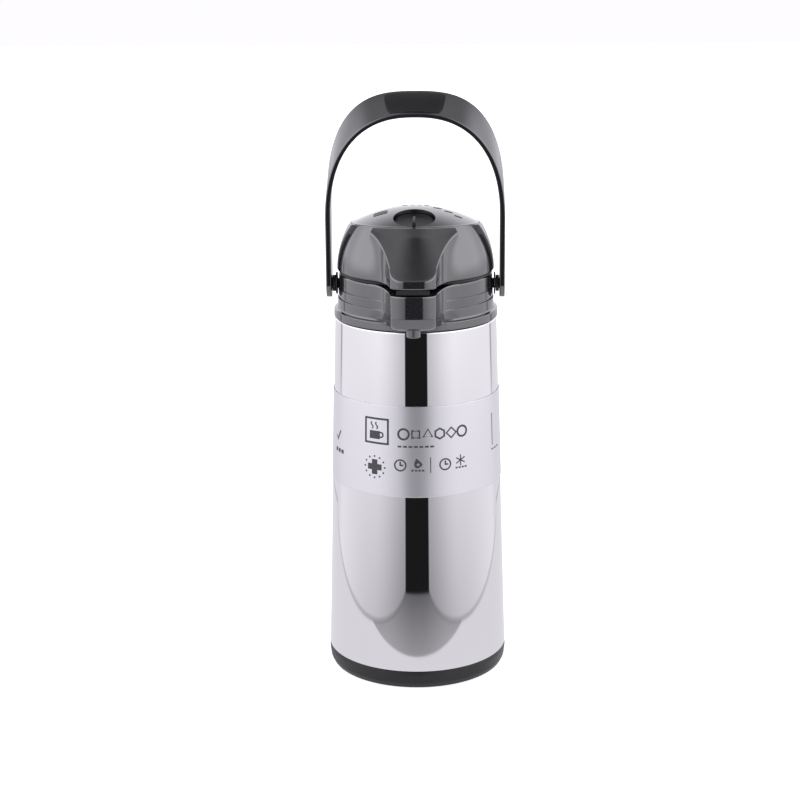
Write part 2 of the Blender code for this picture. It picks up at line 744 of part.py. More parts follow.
def latch_rod(name, material, radius, half_length):
    """A round bar on the latch's axis."""
    pivot_y, pivot_z = LATCH_PIVOT[1:]
    left, right = (-half_length, pivot_y, pivot_z), (half_length, pivot_y, pivot_z)
    return rod(name, material, radius, left, right, 12)


def build_latch():
    """A lever on the lid's front with a finger tab and a hook, and its pin and spring."""
    pivot_y, pivot_z = LATCH_PIVOT[1:]
    lever = box("lid_latch", satin_black(), (-5.5, -85.0, 323.8), (5.5, -64.5, 326.8))
    tab = box("latch_tab", None, (-12.5, -86.4, 323.6), (12.5, -83.6, 327.0))
    upright = box("latch_upright", None, (-5.4, -82.2, 325.0), (5.4, -78.8, pivot_z))
    eye = rod("latch_eye", None, 2.6, (-5.4, pivot_y, pivot_z), (5.4, pivot_y, pivot_z), 16)
    hook = box("latch_hook", None, (-5.3, -66.7, 317.3), (5.3, -64.7, 325.0))
    tip = box("latch_tip", None, (-5.2, -67.8, 317.4), (5.2, -65.5, 318.8))
    join(lever, tab, upright, eye, hook, tip)
    cut(lever, latch_rod("eye_bore", None, LATCH_PIN_R + GAP, 8.0))
    pin = latch_rod("latch_pin", wire_steel(), LATCH_PIN_R, 12.0)
    helix = coil((0, -68.0), 2.2, 327.5, 334.3, 3.5, 8)
    spring = tube_curve("latch_spring", wire_steel(), helix, 0.35)
    return lever, [pin, spring]


# ---------------------------------------------------------------- handle

def arch_edge(share, half_width, rise, power):
    """A point of a rounded arch, from the right arm (share 0) over the top, and its outward normal."""
    c, s = math.cos(math.pi * share), math.sin(math.pi * share)
    across, up = abs(c) ** (2 / power), abs(s) ** (2 / power)
    point = np.array((math.copysign(across, c) * half_width, 0.0, ARCH_BASE_Z + up * rise))
    lean = math.copysign(across ** (power - 1) / half_width, c)
    normal = np.array((lean, 0.0, up ** (power - 1) / rise))
    return point, normal / np.linalg.norm(normal)


def build_handle():
    """A strap whose face turns forwards over the arch, with straight arms down to the pivots."""
    shares = [0.5 - 0.5 * math.cos(math.pi * i / ARCH_STEPS) for i in range(ARCH_STEPS + 1)]
    rows = arm_rows(1) + [arch_section(share) for share in shares] + arm_rows(-1)[::-1]
    handle = loft("handle", gloss_black(), rows, capped=True)
    for side in (-1, 1):
        ends = (side * 60, 0, PIVOT_Z), (side * 76, 0, PIVOT_Z)
        cut(handle, rod(f"arm_bore_{side}", None, PIVOT_BORE_R, *ends))
    return handle


def rounded(front_in, front_out, back_out, back_in):
    """Round a four-cornered section by cutting each corner short."""
    corners = [np.array(p, dtype=float) for p in (front_in, front_out, back_out, back_in)]
    points = []
    for i, corner in enumerate(corners):
        before, after = corners[i - 1], corners[(i + 1) % 4]
        for other in (before, after):
            run = np.linalg.norm(other - corner)
            points.append((corner + (other - corner) * min(1.0 / run, 0.3)).tolist())
    return points


def arm_rows(side):
    """Sections up a straight arm, from its rounded end below the pivot."""
    inner, outer = side * ARM_INNER_X, side * ARM_OUTER_X
    rows = []
    for z in ARM_HEIGHTS:
        below = max(PIVOT_Z - z, 0.0)
        half = max(math.sqrt(ARM_END_R ** 2 - below ** 2), ARM_TIP_HALF)
        rows.append(rounded((inner, -half, z), (outer, -half, z), (outer, half, z), (inner, half, z)))
    return rows


def arch_section(share):
    """The strap between its inner arch and its outer one; the back edge rides higher."""
    turn = math.sin(math.pi * share) ** 1.5
    inner, inner_skin = arch_edge(share, ARM_INNER_X, ARCH_INNER_RISE, ARCH_INNER_POWER)
    outer, outer_skin = arch_edge(share, ARM_OUTER_X, ARCH_OUTER_RISE, ARCH_OUTER_POWER)
    half = np.array((0.0, ARM_END_R + (ARCH_HALF_DEPTH - ARM_END_R) * turn, 0.0))
    thickness = STRAP_THICKNESS + (CROWN_THICKNESS - STRAP_THICKNESS) * turn
    front_in, back_out = inner - half, outer + half
    return rounded(
        front_in, front_in + thickness * inner_skin, back_out, back_out - thickness * outer_skin)


def build_grip():
    """A softer pad let into the strap's face at the top of the arch."""
    rows = []
    for share in np.linspace(*GRIP_SHARES, 11):
        section = np.array(arch_section(float(share)))
        front, back = section[3], section[4]
        across = back - front
        normal = np.cross(across, (1.0, 0.0, 0.0))
        normal /= np.linalg.norm(normal)
        if normal[2] < 0:
            normal = -normal
        low, high = (front + across * share_across for share_across in GRIP_ACROSS)
        sunk, proud = (normal * lift for lift in GRIP_LIFT)
        rows.append([(low + sunk).tolist(), (high + sunk).tolist(),
                     (high + proud).tolist(), (low + proud).tolist()])
    return loft("handle_grip", satin_black(), rows, capped=True)


def main():
    clear_scene()
    build_base()
    build_casing()
    build_flask()
    build_neck()
    build_collar()
    build_handle_pivots()
    ball = build_stopper()
    latch, latch_fittings = build_latch()
    lid_pieces = [build_lid_shell(), *build_lid_base(), *build_bellows(), *latch_fittings]
    hang("ball_axis", (0, 0, BALL_Z), ball)
    hang("lid_axis", (0, HINGE_Y, HINGE_Z), *lid_pieces)
    hang("latch_axis", LATCH_PIVOT, latch)
    hang("button_axis", (0, 0, BUTTON_SKIRT_Z), *build_button())
    hang("lock_axis", dial_point(0, 0), *build_lock())
    hang("handle_axis", (0, 0, PIVOT_Z), build_handle(), build_grip())


main()
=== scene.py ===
"""Looks of a vacuum pump pot: a steel casing, a black pump head and a swinging bail handle.

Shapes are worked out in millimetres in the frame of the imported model, with the nose towards -Y,
and turned into metres when a mesh is made.
"""

import json
import logging
import math
from collections.abc import Callable
from dataclasses import dataclass, field
from enum import Enum
from typing import Any

import bmesh
import bpy
import numpy as np
from mathutils import Matrix, Vector


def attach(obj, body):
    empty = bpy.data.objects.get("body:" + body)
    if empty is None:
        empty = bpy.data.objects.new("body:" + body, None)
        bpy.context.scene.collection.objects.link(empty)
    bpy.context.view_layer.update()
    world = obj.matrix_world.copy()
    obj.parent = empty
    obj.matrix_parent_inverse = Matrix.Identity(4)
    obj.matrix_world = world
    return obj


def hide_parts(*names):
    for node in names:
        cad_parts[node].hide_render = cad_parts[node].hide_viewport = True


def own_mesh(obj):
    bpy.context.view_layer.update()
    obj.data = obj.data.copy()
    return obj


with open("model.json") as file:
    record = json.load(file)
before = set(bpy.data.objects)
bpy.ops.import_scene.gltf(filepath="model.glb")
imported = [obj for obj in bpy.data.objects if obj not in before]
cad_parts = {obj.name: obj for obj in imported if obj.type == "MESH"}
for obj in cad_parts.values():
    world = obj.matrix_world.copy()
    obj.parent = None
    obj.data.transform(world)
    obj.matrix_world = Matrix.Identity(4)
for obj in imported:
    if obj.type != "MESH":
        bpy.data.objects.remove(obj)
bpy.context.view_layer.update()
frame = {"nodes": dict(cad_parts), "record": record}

LOG = logging.getLogger("pump_pot")
MM = 0.001
HINGE_Y, HINGE_Z = 64.5, 325.0
PIVOT_Z = 315.0
SPOUT_Y = -77.0
Array = np.ndarray


# ------------------------------------------------------------------ shader helpers

def operation(name: str) -> Callable[..., "Value"]:
    """A Value's method that adds a Math node of one kind.

    Args:
        name: the Math node's operation.

    Returns:
        The method, which takes the numbers or Values for the node's other sockets.
    """
    return lambda self, *others: self.math(name, *others)


class Value:
    """A socket that carries a number, with arithmetic that adds Math nodes."""

    def __init__(self, graph: "Graph", socket: Any) -> None:
        """Keep the graph and the socket that the number comes from."""
        self.graph = graph
        self.socket = socket

    def math(self, name: str, *others: Any, clamp: bool = False) -> "Value":
        """Add a Math node.

        Args:
            name: the Math node's operation.
            others: numbers or Values for the next sockets.
            clamp: whether the result is kept between 0 and 1.

        Returns:
            The result as a Value.
        """
        inputs = dict(enumerate((self, *others)))
        return self.graph.value("ShaderNodeMath", {"operation": name, "use_clamp": clamp}, inputs)

    __add__ = __radd__ = operation("ADD")
    __sub__ = operation("SUBTRACT")
    __mul__ = __rmul__ = operation("MULTIPLY")
    __truediv__ = operation("DIVIDE")
    __pow__ = operation("POWER")
    __abs__ = operation("ABSOLUTE")
    asin = operation("ARCSINE")
    atan2 = operation("ARCTAN2")
    largest = operation("MAXIMUM")

    def __rsub__(self, other: Any) -> "Value":
        """Difference from a plain number."""
        return self * -1.0 + other

    def clamp(self) -> "Value":
        """The number kept between 0 and 1."""
        return self.math("ADD", 0.0, clamp=True)

    def ramp(self, low: float, high: float) -> "Value":
        """0 at low and 1 at high, eased at both ends."""
        settings = {"interpolation_type": "SMOOTHSTEP"}
        inputs = {"Value": self, "From Min": low, "From Max": high}
        return self.graph.value("ShaderNodeMapRange", settings, inputs)


class Graph:
    """A node tree, with one method that adds any node."""

    def __init__(self, tree: bpy.types.NodeTree) -> None:
        """Start on an empty tree."""
        self.tree = tree
        tree.nodes.clear()

    def node(self, kind: str, settings: dict[str, Any] | None = None,
             inputs: dict[Any, Any] | None = None) -> bpy.types.Node:
        """Add a node.

        Args:
            kind: the node's type.
            settings: properties set before anything is linked.
            inputs: socket name or number to a value, a socket or a Value.

        Returns:
            The new node.
        """
        node = self.tree.nodes.new(kind)
        for key, setting in (settings or {}).items():
            setattr(node, key, setting)
        for key, given in (inputs or {}).items():
            self.feed(node.inputs[key], given)
        return node

    def feed(self, socket: Any, given: Any) -> None:
        """Link or set one socket."""
        if isinstance(given, Value):
            self.tree.links.new(given.socket, socket)
        elif isinstance(given, bpy.types.NodeSocket):
            self.tree.links.new(given, socket)
        else:
            socket.default_value = given

    def value(self, kind: str, settings: dict[str, Any], inputs: dict[Any, Any]) -> Value:
        """Add a node and wrap its first output as a Value."""
        return Value(self, self.node(kind, settings, inputs).outputs[0])

    def coordinates(self, kind: str) -> Any:
        """The coordinates of one kind, such as Object in metres."""
        return self.node("ShaderNodeTexCoord").outputs[kind]

    def split(self, vector: Any) -> tuple[Value, Value, Value]:
        """The three numbers of a vector."""
        parts = self.node("ShaderNodeSeparateXYZ", inputs={0: vector}).outputs
        return tuple(Value(self, part) for part in parts)

    def noise(self, scale: float, detail: float, vector: Any = None) -> Value:
        """Noise between 0 and 1, by default on Object coordinates."""
        vector = vector or self.coordinates("Object")
        inputs = {"Vector": vector, "Scale": scale, "Detail": detail}
        return self.value("ShaderNodeTexNoise", {}, inputs)

    def stretched(self, x: float, y: float, z: float) -> Any:
        """Object coordinates with each axis scaled."""
        inputs = {0: self.coordinates("Object"), "Scale": (x, y, z)}
        return self.node("ShaderNodeMapping", inputs=inputs).outputs[0]

    def mix(self, factor: Any, first: Any, second: Any) -> Any:
        """Blend two colours."""
        settings = {"data_type": "RGBA"}
        node = self.node("ShaderNodeMix", settings, {0: factor, 6: first, 7: second})
        return node.outputs[2]

    def bump(self, height: Value, strength: float, distance: float) -> Any:
        """A normal bent by a height."""
        inputs = {"Height": height, "Strength": strength, "Distance": distance}
        return self.node("ShaderNodeBump", inputs=inputs).outputs[0]


def rgba(red: float, green: float, blue: float) -> tuple[float, float, float, float]:
    """A solid colour."""
    return (red, green, blue, 1.0)


# ------------------------------------------------------------------ finishes

@dataclass(frozen=True)
class Finish:
    """A finish with a name, and constants for the shader's own sockets."""

    name: str
    colour: tuple[float, float, float] = (0.5, 0.5, 0.5)
    roughness: float = 0.4
    metallic: float = 0.0
    ior: float = 1.5

    def material(self) -> bpy.types.Material:
        """The finish's material, made once."""
        found = bpy.data.materials.get("look_" + self.name)
        if found:
            return found
        material = bpy.data.materials.new("look_" + self.name)
        material.use_nodes = True
        graph = Graph(material.node_tree)
        inputs = {
            "Base Color": rgba(*self.colour), "Roughness": self.roughness,
            "Metallic": self.metallic, "IOR": self.ior, **self.detail(graph)}
        shader = graph.node("ShaderNodeBsdfPrincipled", inputs=inputs)
        graph.node("ShaderNodeOutputMaterial", inputs={"Surface": shader.outputs[0]})
        return material

    def detail(self, graph: Graph) -> dict[str, Any]:
        """What varies over the surface, by the name of the shader's socket."""
        return {}

    def toned(self, graph: Graph, factor: Value, other: tuple[float, float, float]) -> Any:
        """The finish's colour blended with another."""
        return graph.mix(factor, rgba(*self.colour), rgba(*other))

    def apply(self, obj: bpy.types.Object) -> bpy.types.Object:
        """Put the finish in every slot of an object.

        Args:
            obj: a mesh object, new or from the frame.

        Returns:
            The same object.
        """
        if not obj.material_slots:
            obj.data.materials.append(self.material())
        for slot in obj.material_slots:
            slot.material = self.material()
        return obj


@dataclass(frozen=True)
class MouldedGloss(Finish):
    """Polished moulding: faint flow waves, dust specks and slightly worn gloss."""

    wave: float = 0.05

    def detail(self, graph: Graph) -> dict[str, Any]:
        """Waves bend the reflections; handling dulls the gloss in patches."""
        waves = graph.noise(38.0, 2.0)
        handling = graph.noise(24.0, 4.0).ramp(0.35, 0.8)
        specks = graph.noise(2600.0, 1.0).ramp(0.74, 0.8)
        return {
            "Base Color": self.toned(graph, specks * 0.25, (0.12, 0.12, 0.13)),
            "Roughness": self.roughness + handling * 0.045 + specks * 0.08,
            "Normal": graph.bump(waves, self.wave, 0.001)}


@dataclass(frozen=True)
class MouldedSatin(Finish):
    """Spark-eroded moulding with a fine even grain."""

    grain: float = 0.35
    grain_scale: float = 2200.0

    def detail(self, graph: Graph) -> dict[str, Any]:
        """A fine grain in the normal, with paler rubbed patches."""
        grain = graph.noise(self.grain_scale, 2.0)
        rubbed = graph.noise(18.0, 4.0).ramp(0.45, 0.75)
        pale = tuple(min(1.0, c * 1.35 + 0.004) for c in self.colour)
        return {
            "Base Color": self.toned(graph, rubbed, pale),
            "Roughness": self.roughness - rubbed * 0.08 + grain * 0.06,
            "Normal": graph.bump(grain, self.grain, 0.0002)}


@dataclass(frozen=True)
class PolishedSheet(Finish):
    """Polished stainless sheet: fine rolling lines round the body, and faint smears."""

    def detail(self, graph: Graph) -> dict[str, Any]:
        """Lines are noise squeezed along the height; smears change the roughness."""
        x, y, _ = graph.split(graph.coordinates("Object"))
        lines = graph.noise(1.0, 2.0, graph.stretched(30.0, 30.0, 5200.0))
        smear = graph.noise(1.0, 5.0, graph.stretched(16.0, 16.0, 5.0)).ramp(0.4, 0.85)
        seam = 1.0 - abs(x.atan2(y) - 0.35).ramp(0.0015, 0.004)
        tone = self.toned(graph, smear * 0.5, (0.77, 0.755, 0.77))
        return {
            "Base Color": graph.mix(seam * 0.4, tone, rgba(0.45, 0.45, 0.46)),
            "Roughness": self.roughness + lines * 0.006 + smear * 0.012 + seam * 0.1,
            "Normal": graph.bump(lines, 0.02, 0.000004)}


@dataclass(frozen=True)
class FoilLabel(Finish):
    """Silvered label stock with a paper tooth and a cut edge."""

    def detail(self, graph: Graph) -> dict[str, Any]:
        """Tooth in the normal and mottling in the tone."""
        tooth = graph.noise(900.0, 4.0)
        mottle = graph.noise(60.0, 3.0)
        return {
            "Base Color": self.toned(graph, mottle, (0.75, 0.74, 0.77)),
            "Roughness": self.roughness + tooth * 0.06,
            "Normal": graph.bump(tooth, 0.05, 0.0002)}


@dataclass(frozen=True)
class PrintInk(Finish):
    """Dark printing ink, thin enough to mottle."""

    def detail(self, graph: Graph) -> dict[str, Any]:
        """The ink thins in small patches."""
        thin = graph.noise(700.0, 3.0).ramp(0.4, 0.9)
        pale = tuple(c * 1.8 for c in self.colour)
        return {
            "Base Color": self.toned(graph, thin, pale),
            "Roughness": self.roughness + thin * 0.1}


@dataclass(frozen=True)
class DrawnWire(Finish):
    """Drawn or turned steel with fine scratches along it."""

    def detail(self, graph: Graph) -> dict[str, Any]:
        """Scratches change the roughness and bend the normal a little."""
        scratch = graph.noise(1.0, 3.0, graph.stretched(300.0, 2400.0, 2400.0))
        return {
            "Roughness": self.roughness + scratch * 0.15,
            "Normal": graph.bump(scratch, 0.12, 0.0001)}


@dataclass(frozen=True)
class SilveredGlass(Finish):
    """Mirror-silvered flask glass with cloudy patches in the silvering."""

    def detail(self, graph: Graph) -> dict[str, Any]:
        """Clouds dull the silver."""
        cloud = graph.noise(45.0, 5.0).ramp(0.45, 0.8)
        return {
            "Base Color": self.toned(graph, cloud, (0.66, 0.66, 0.62)),
            "Roughness": self.roughness + cloud * 0.12}


GLOSS_BLACK = MouldedGloss("gloss_black", (0.012, 0.012, 0.014), 0.07, ior=2.35)
SATIN_BLACK = MouldedSatin("satin_black", (0.009, 0.009, 0.0095), 0.42, ior=1.42)
GREY_PLASTIC = MouldedSatin("grey_plastic", (0.42, 0.42, 0.44), 0.3, grain=0.1)
WHITE_PLASTIC = MouldedSatin("white_plastic", (0.72, 0.72, 0.69), 0.42, grain=0.2)
STEEL = PolishedSheet("polished_steel", (0.80, 0.79, 0.805), 0.012, 1.0)
SMOKE = MouldedGloss("smoke_grey", (0.05, 0.05, 0.054), 0.12, ior=2.0)
WIRE = DrawnWire("wire_steel", (0.55, 0.55, 0.57), 0.25, 1.0)
LABEL = FoilLabel("label_foil", (0.74, 0.73, 0.76), 0.31, 1.0)
INK = PrintInk("label_ink", (0.03, 0.03, 0.034), 0.45)
GLASS = SilveredGlass("silvered_glass", (0.84, 0.85, 0.86), 0.06, 0.9)
RUBBER = MouldedSatin("rubber", (0.016, 0.016, 0.016), 0.75, grain=0.5, grain_scale=1200.0)
SILICONE = MouldedSatin("silicone", (0.70, 0.69, 0.66), 0.5, grain=0.15)


# ------------------------------------------------------------------ surfaces

class Ends(Enum):
    """How the first and last rows of a skin are finished."""

    JOINED = "the last row meets the first"
    FLAT = "each end row is filled"


@dataclass
class Skin:
    """A surface of closed rows of points, in millimetres."""

    rows: Array
    ends: Ends = Ends.JOINED

    def mesh(self) -> bpy.types.Mesh:
        """Join neighbouring rows with four-sided faces, in metres."""
        count, width, _ = self.rows.shape
        index = np.arange(count * width).reshape(count, width)
        low = index if self.ends is Ends.JOINED else index[:-1]
        high = np.roll(index, -1, axis=0)[:len(low)]
        quads = np.stack((low, np.roll(low, -1, 1), np.roll(high, -1, 1), high), axis=-1)
        faces = quads.reshape(-1, 4).tolist()
        if self.ends is Ends.FLAT:
            faces += [index[0][::-1].tolist(), index[-1].tolist()]
        mesh = bpy.data.meshes.new("skin")
        mesh.from_pydata((self.rows.reshape(-1, 3) * MM).tolist(), [], faces)
        return mesh


def outward(mesh: bpy.types.Mesh, angle: float = 32.0) -> bpy.types.Mesh:
    """Weld a closed mesh, turn its faces out and shade it smooth between sharp edges."""
    work = bmesh.new()
    work.from_mesh(mesh)
    bmesh.ops.remove_doubles(work, verts=work.verts, dist=0.000002)
    bmesh.ops.recalc_face_normals(work, faces=work.faces)
    work.to_mesh(mesh)
    work.free()
    mesh.shade_smooth()
    mesh.set_sharp_from_angle(angle=math.radians(angle))
    return mesh


def linked(name: str, data: Any) -> bpy.types.Object:
    """A new object in the scene."""
    obj = bpy.data.objects.new(name, data)
    bpy.context.scene.collection.objects.link(obj)
    return obj


def show(name: str, mesh: bpy.types.Mesh, finish: Finish, body: str) -> bpy.types.Object:
    """Make a finished piece.

    Args:
        name: the piece's name.
        mesh: its mesh, in place.
        finish: its finish.
        body: the frame's body that it moves with.

    Returns:
        The piece.
    """
    obj = linked(name, mesh)
    finish.apply(obj)
    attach(obj, body)
    LOG.info("%s: %d faces, moves with %s", name, len(mesh.polygons), body)
    return obj


def stand_in(node: str, mesh: bpy.types.Mesh, finish: Finish,
             suffix: str = "fine") -> bpy.types.Object:
    """Make a piece that stands for a CAD node, with the node's own body, and hide the node.

    Args:
        node: the CAD node.
        mesh: the piece's mesh, in place.
        finish: its finish.
        suffix: what its name adds to the node's.

    Returns:
        The piece.
    """
    record = frame["record"]
    body = next(b for b, nodes in record["behaviour"]["bodies"].items() if node in nodes)
    obj = show(f"{node}_{suffix}", mesh, finish, body)
    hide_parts(node)
    return obj


class Carving(Enum):
    """What happens to a mesh and each of its cutters."""

    CUT = "DIFFERENCE"
    JOIN = "UNION"
    KEEP_INSIDE = "INTERSECT"


def carve(mesh: bpy.types.Mesh, cutters: list[bpy.types.Mesh],
          carving: Carving = Carving.CUT) -> bpy.types.Mesh:
    """Combine a closed mesh with others, one after the other.

    Args:
        mesh: the mesh that is changed.
        cutters: closed meshes.
        carving: whether they are cut out of it or joined to it, or limit it.

    Returns:
        The result as a new mesh.
    """
    base = linked("carved", mesh)
    tools = [linked("cutter", outward(cutter)) for cutter in cutters]
    for tool in tools:
        change = base.modifiers.new("change", "BOOLEAN")
        change.operation, change.solver, change.object = carving.value, "EXACT", tool
    bpy.context.view_layer.update()
    result = bpy.data.meshes.new_from_object(
        base.evaluated_get(bpy.context.evaluated_depsgraph_get()))
    for obj in (base, *tools):
        bpy.data.objects.remove(obj)
    return result


def filleted(corners: list[tuple[float, float, float]], closed: bool = True,
             steps: int = 5) -> Array:
    """A profile whose corners are rounded.

    Each corner (r, z, radius) is replaced by a circular arc that leaves both of its sides
    along them; the arc starts radius / tan(half the corner's angle) from the corner. Where
    there is room, one more point just past each end of the arc keeps the shading of a long
    straight side flat.

    Args:
        corners: radius from the axis, height and rounding of each corner.
        closed: whether the last corner joins the first.
        steps: spans in each arc.

    Returns:
        Points (r, z) along the profile.
    """
    out: list[Array] = []
    count = len(corners)
    for i, (r, z, radius) in enumerate(corners):
        here = np.array((r, z))
        if radius <= 0 or (not closed and i in (0, count - 1)):
            out.append(here[None])
            continue
        before = np.array(corners[i - 1][:2]) - here
        after = np.array(corners[(i + 1) % count][:2]) - here
        reach_b, reach_a = np.linalg.norm(before), np.linalg.norm(after)
        before, after = before / reach_b, after / reach_a
        half = math.acos(float(np.clip(before @ after, -0.9999, 0.9999))) / 2
        run = min(radius / math.tan(half), 0.48 * reach_b, 0.48 * reach_a)
        middle = (before + after) / np.linalg.norm(before + after)
        size = run * math.tan(half)
        centre = here + middle * run / math.cos(half)
        start, end = here + before * run - centre, here + after * run - centre
        t = np.linspace(0.0, 1.0, steps + 1)[:, None]
        sweep = math.pi - 2 * half
        arc = (np.sin((1 - t) * sweep) * start + np.sin(t * sweep) * end) / math.sin(sweep)
        rows = [centre + arc * (size / np.linalg.norm(arc, axis=1, keepdims=True))]
        if 0.5 * reach_b - run > 1.0:
            rows.insert(0, (here + before * (run + 0.5))[None])
        if 0.5 * reach_a - run > 1.0:
            rows.append((here + after * (run + 0.5))[None])
        out += rows
    return np.concatenate(out)


def turned_rows(profile: Array, segments: int = 160) -> Array:
    """Carry a profile of (r, z) round the Z axis."""
    angles = np.linspace(0.0, math.tau, segments, endpoint=False)
    r, z = profile[:, :1], profile[:, 1:]
    return np.stack((r * np.sin(angles), -r * np.cos(angles), z + 0 * angles), axis=-1)


def turned(corners: list[tuple[float, float, float]], closed: bool = True,
           segments: int = 160, steps: int = 5) -> bpy.types.Mesh:
    """A turned solid from a filleted profile; an open profile starts and ends near the axis."""
    rows = turned_rows(filleted(corners, closed, steps), segments)
    return outward(Skin(rows, Ends.JOINED if closed else Ends.FLAT).mesh())


def moved(mesh: bpy.types.Mesh, turn: Matrix) -> bpy.types.Mesh:
    """A mesh put in its place by a matrix."""
    mesh.transform(turn)
    return mesh


def cylinder(radius: float, start: tuple[float, float, float],
             end: tuple[float, float, float], round_off: float = 0.0,
             segments: int = 64) -> bpy.types.Mesh:
    """A round bar between two points, with its rims rounded."""
    first, last = Vector(start), Vector(end)
    length = (last - first).length
    corners = [(0.001, length, 0.0), (radius, length, round_off), (radius, 0.0, round_off),
               (0.001, 0.0, 0.0)]
    mesh = turned(corners, closed=False, segments=segments, steps=4)
    turn = (last - first).to_track_quat("Z", "Y").to_matrix().to_4x4()
    return moved(mesh, Matrix.Translation(first * MM) @ turn)


def hinge_bar(radius: float, left: float, right: float, round_off: float = 0.0,
              segments: int = 64) -> bpy.types.Mesh:
    """A round bar on the lid hinge's axis."""
    start, end = (left, HINGE_Y, HINGE_Z), (right, HINGE_Y, HINGE_Z)
    return cylinder(radius, start, end, round_off, segments)


def pivot_bores(radius: float, inner: float, outer: float) -> list[bpy.types.Mesh]:
    """Cutters on the handle's axis, one through each side."""
    return [cylinder(radius, (inner, 0, PIVOT_Z), (outer, 0, PIVOT_Z)),
            cylinder(radius, (-outer, 0, PIVOT_Z), (-inner, 0, PIVOT_Z))]


def block(low: tuple[float, float, float], high: tuple[float, float, float],
          round_off: float = 0.0) -> bpy.types.Mesh:
    """A box with rounded upright edges, from its lowest to its highest corner."""
    a, b = np.array(low), np.array(high)
    half = (b - a) / 2
    ring_count = 24
    t = (np.arange(ring_count) + 0.5) * math.tau / ring_count
    radius = max(round_off, 0.01)
    x = np.sign(np.cos(t)) * (half[0] - radius) + radius * np.cos(t)
    y = np.sign(np.sin(t)) * (half[1] - radius) + radius * np.sin(t)
    lip = min(radius, half[2] * 0.9, half[0] * 0.9, half[1] * 0.9)
    rows = []
    for z, inset in ((-half[2], lip), (-half[2] + 0.3 * lip, 0.3 * lip), (-half[2] + lip, 0.0),
                     (half[2] - lip, 0.0), (half[2] - 0.3 * lip, 0.3 * lip), (half[2], lip)):
        shrink = 1.0 - inset / half[:2]
        rows.append(np.stack((x * shrink[0], y * shrink[1], z + 0 * x), axis=-1))
    return outward(Skin(np.array(rows) + (a + b) / 2, Ends.FLAT).mesh())


def merged(meshes: list[bpy.types.Mesh]) -> bpy.types.Mesh:
    """Several meshes as one, without joining their surfaces."""
    vertices, faces, base = [], [], 0
    for mesh in meshes:
        co = np.empty(len(mesh.vertices) * 3)
        mesh.vertices.foreach_get("co", co)
        vertices += co.reshape(-1, 3).tolist()
        faces += [[v + base for v in polygon.vertices] for polygon in mesh.polygons]
        base += len(mesh.vertices)
    out = bpy.data.meshes.new("merged")
    out.from_pydata(vertices, [], faces)
    return out


def soft_max(a: Array, b: Array, reach: float) -> Array:
    """The larger of two values, rounded over the stretch where they are within reach."""
    return np.maximum(a, b) + np.maximum(reach - np.abs(a - b), 0.0) ** 2 / (4 * reach)


def soft_min(a: Array, b: Array, reach: float) -> Array:
    """The smaller of two values, rounded in the same way."""
    return -soft_max(-a, -b, reach)


# ------------------------------------------------------------------ studio

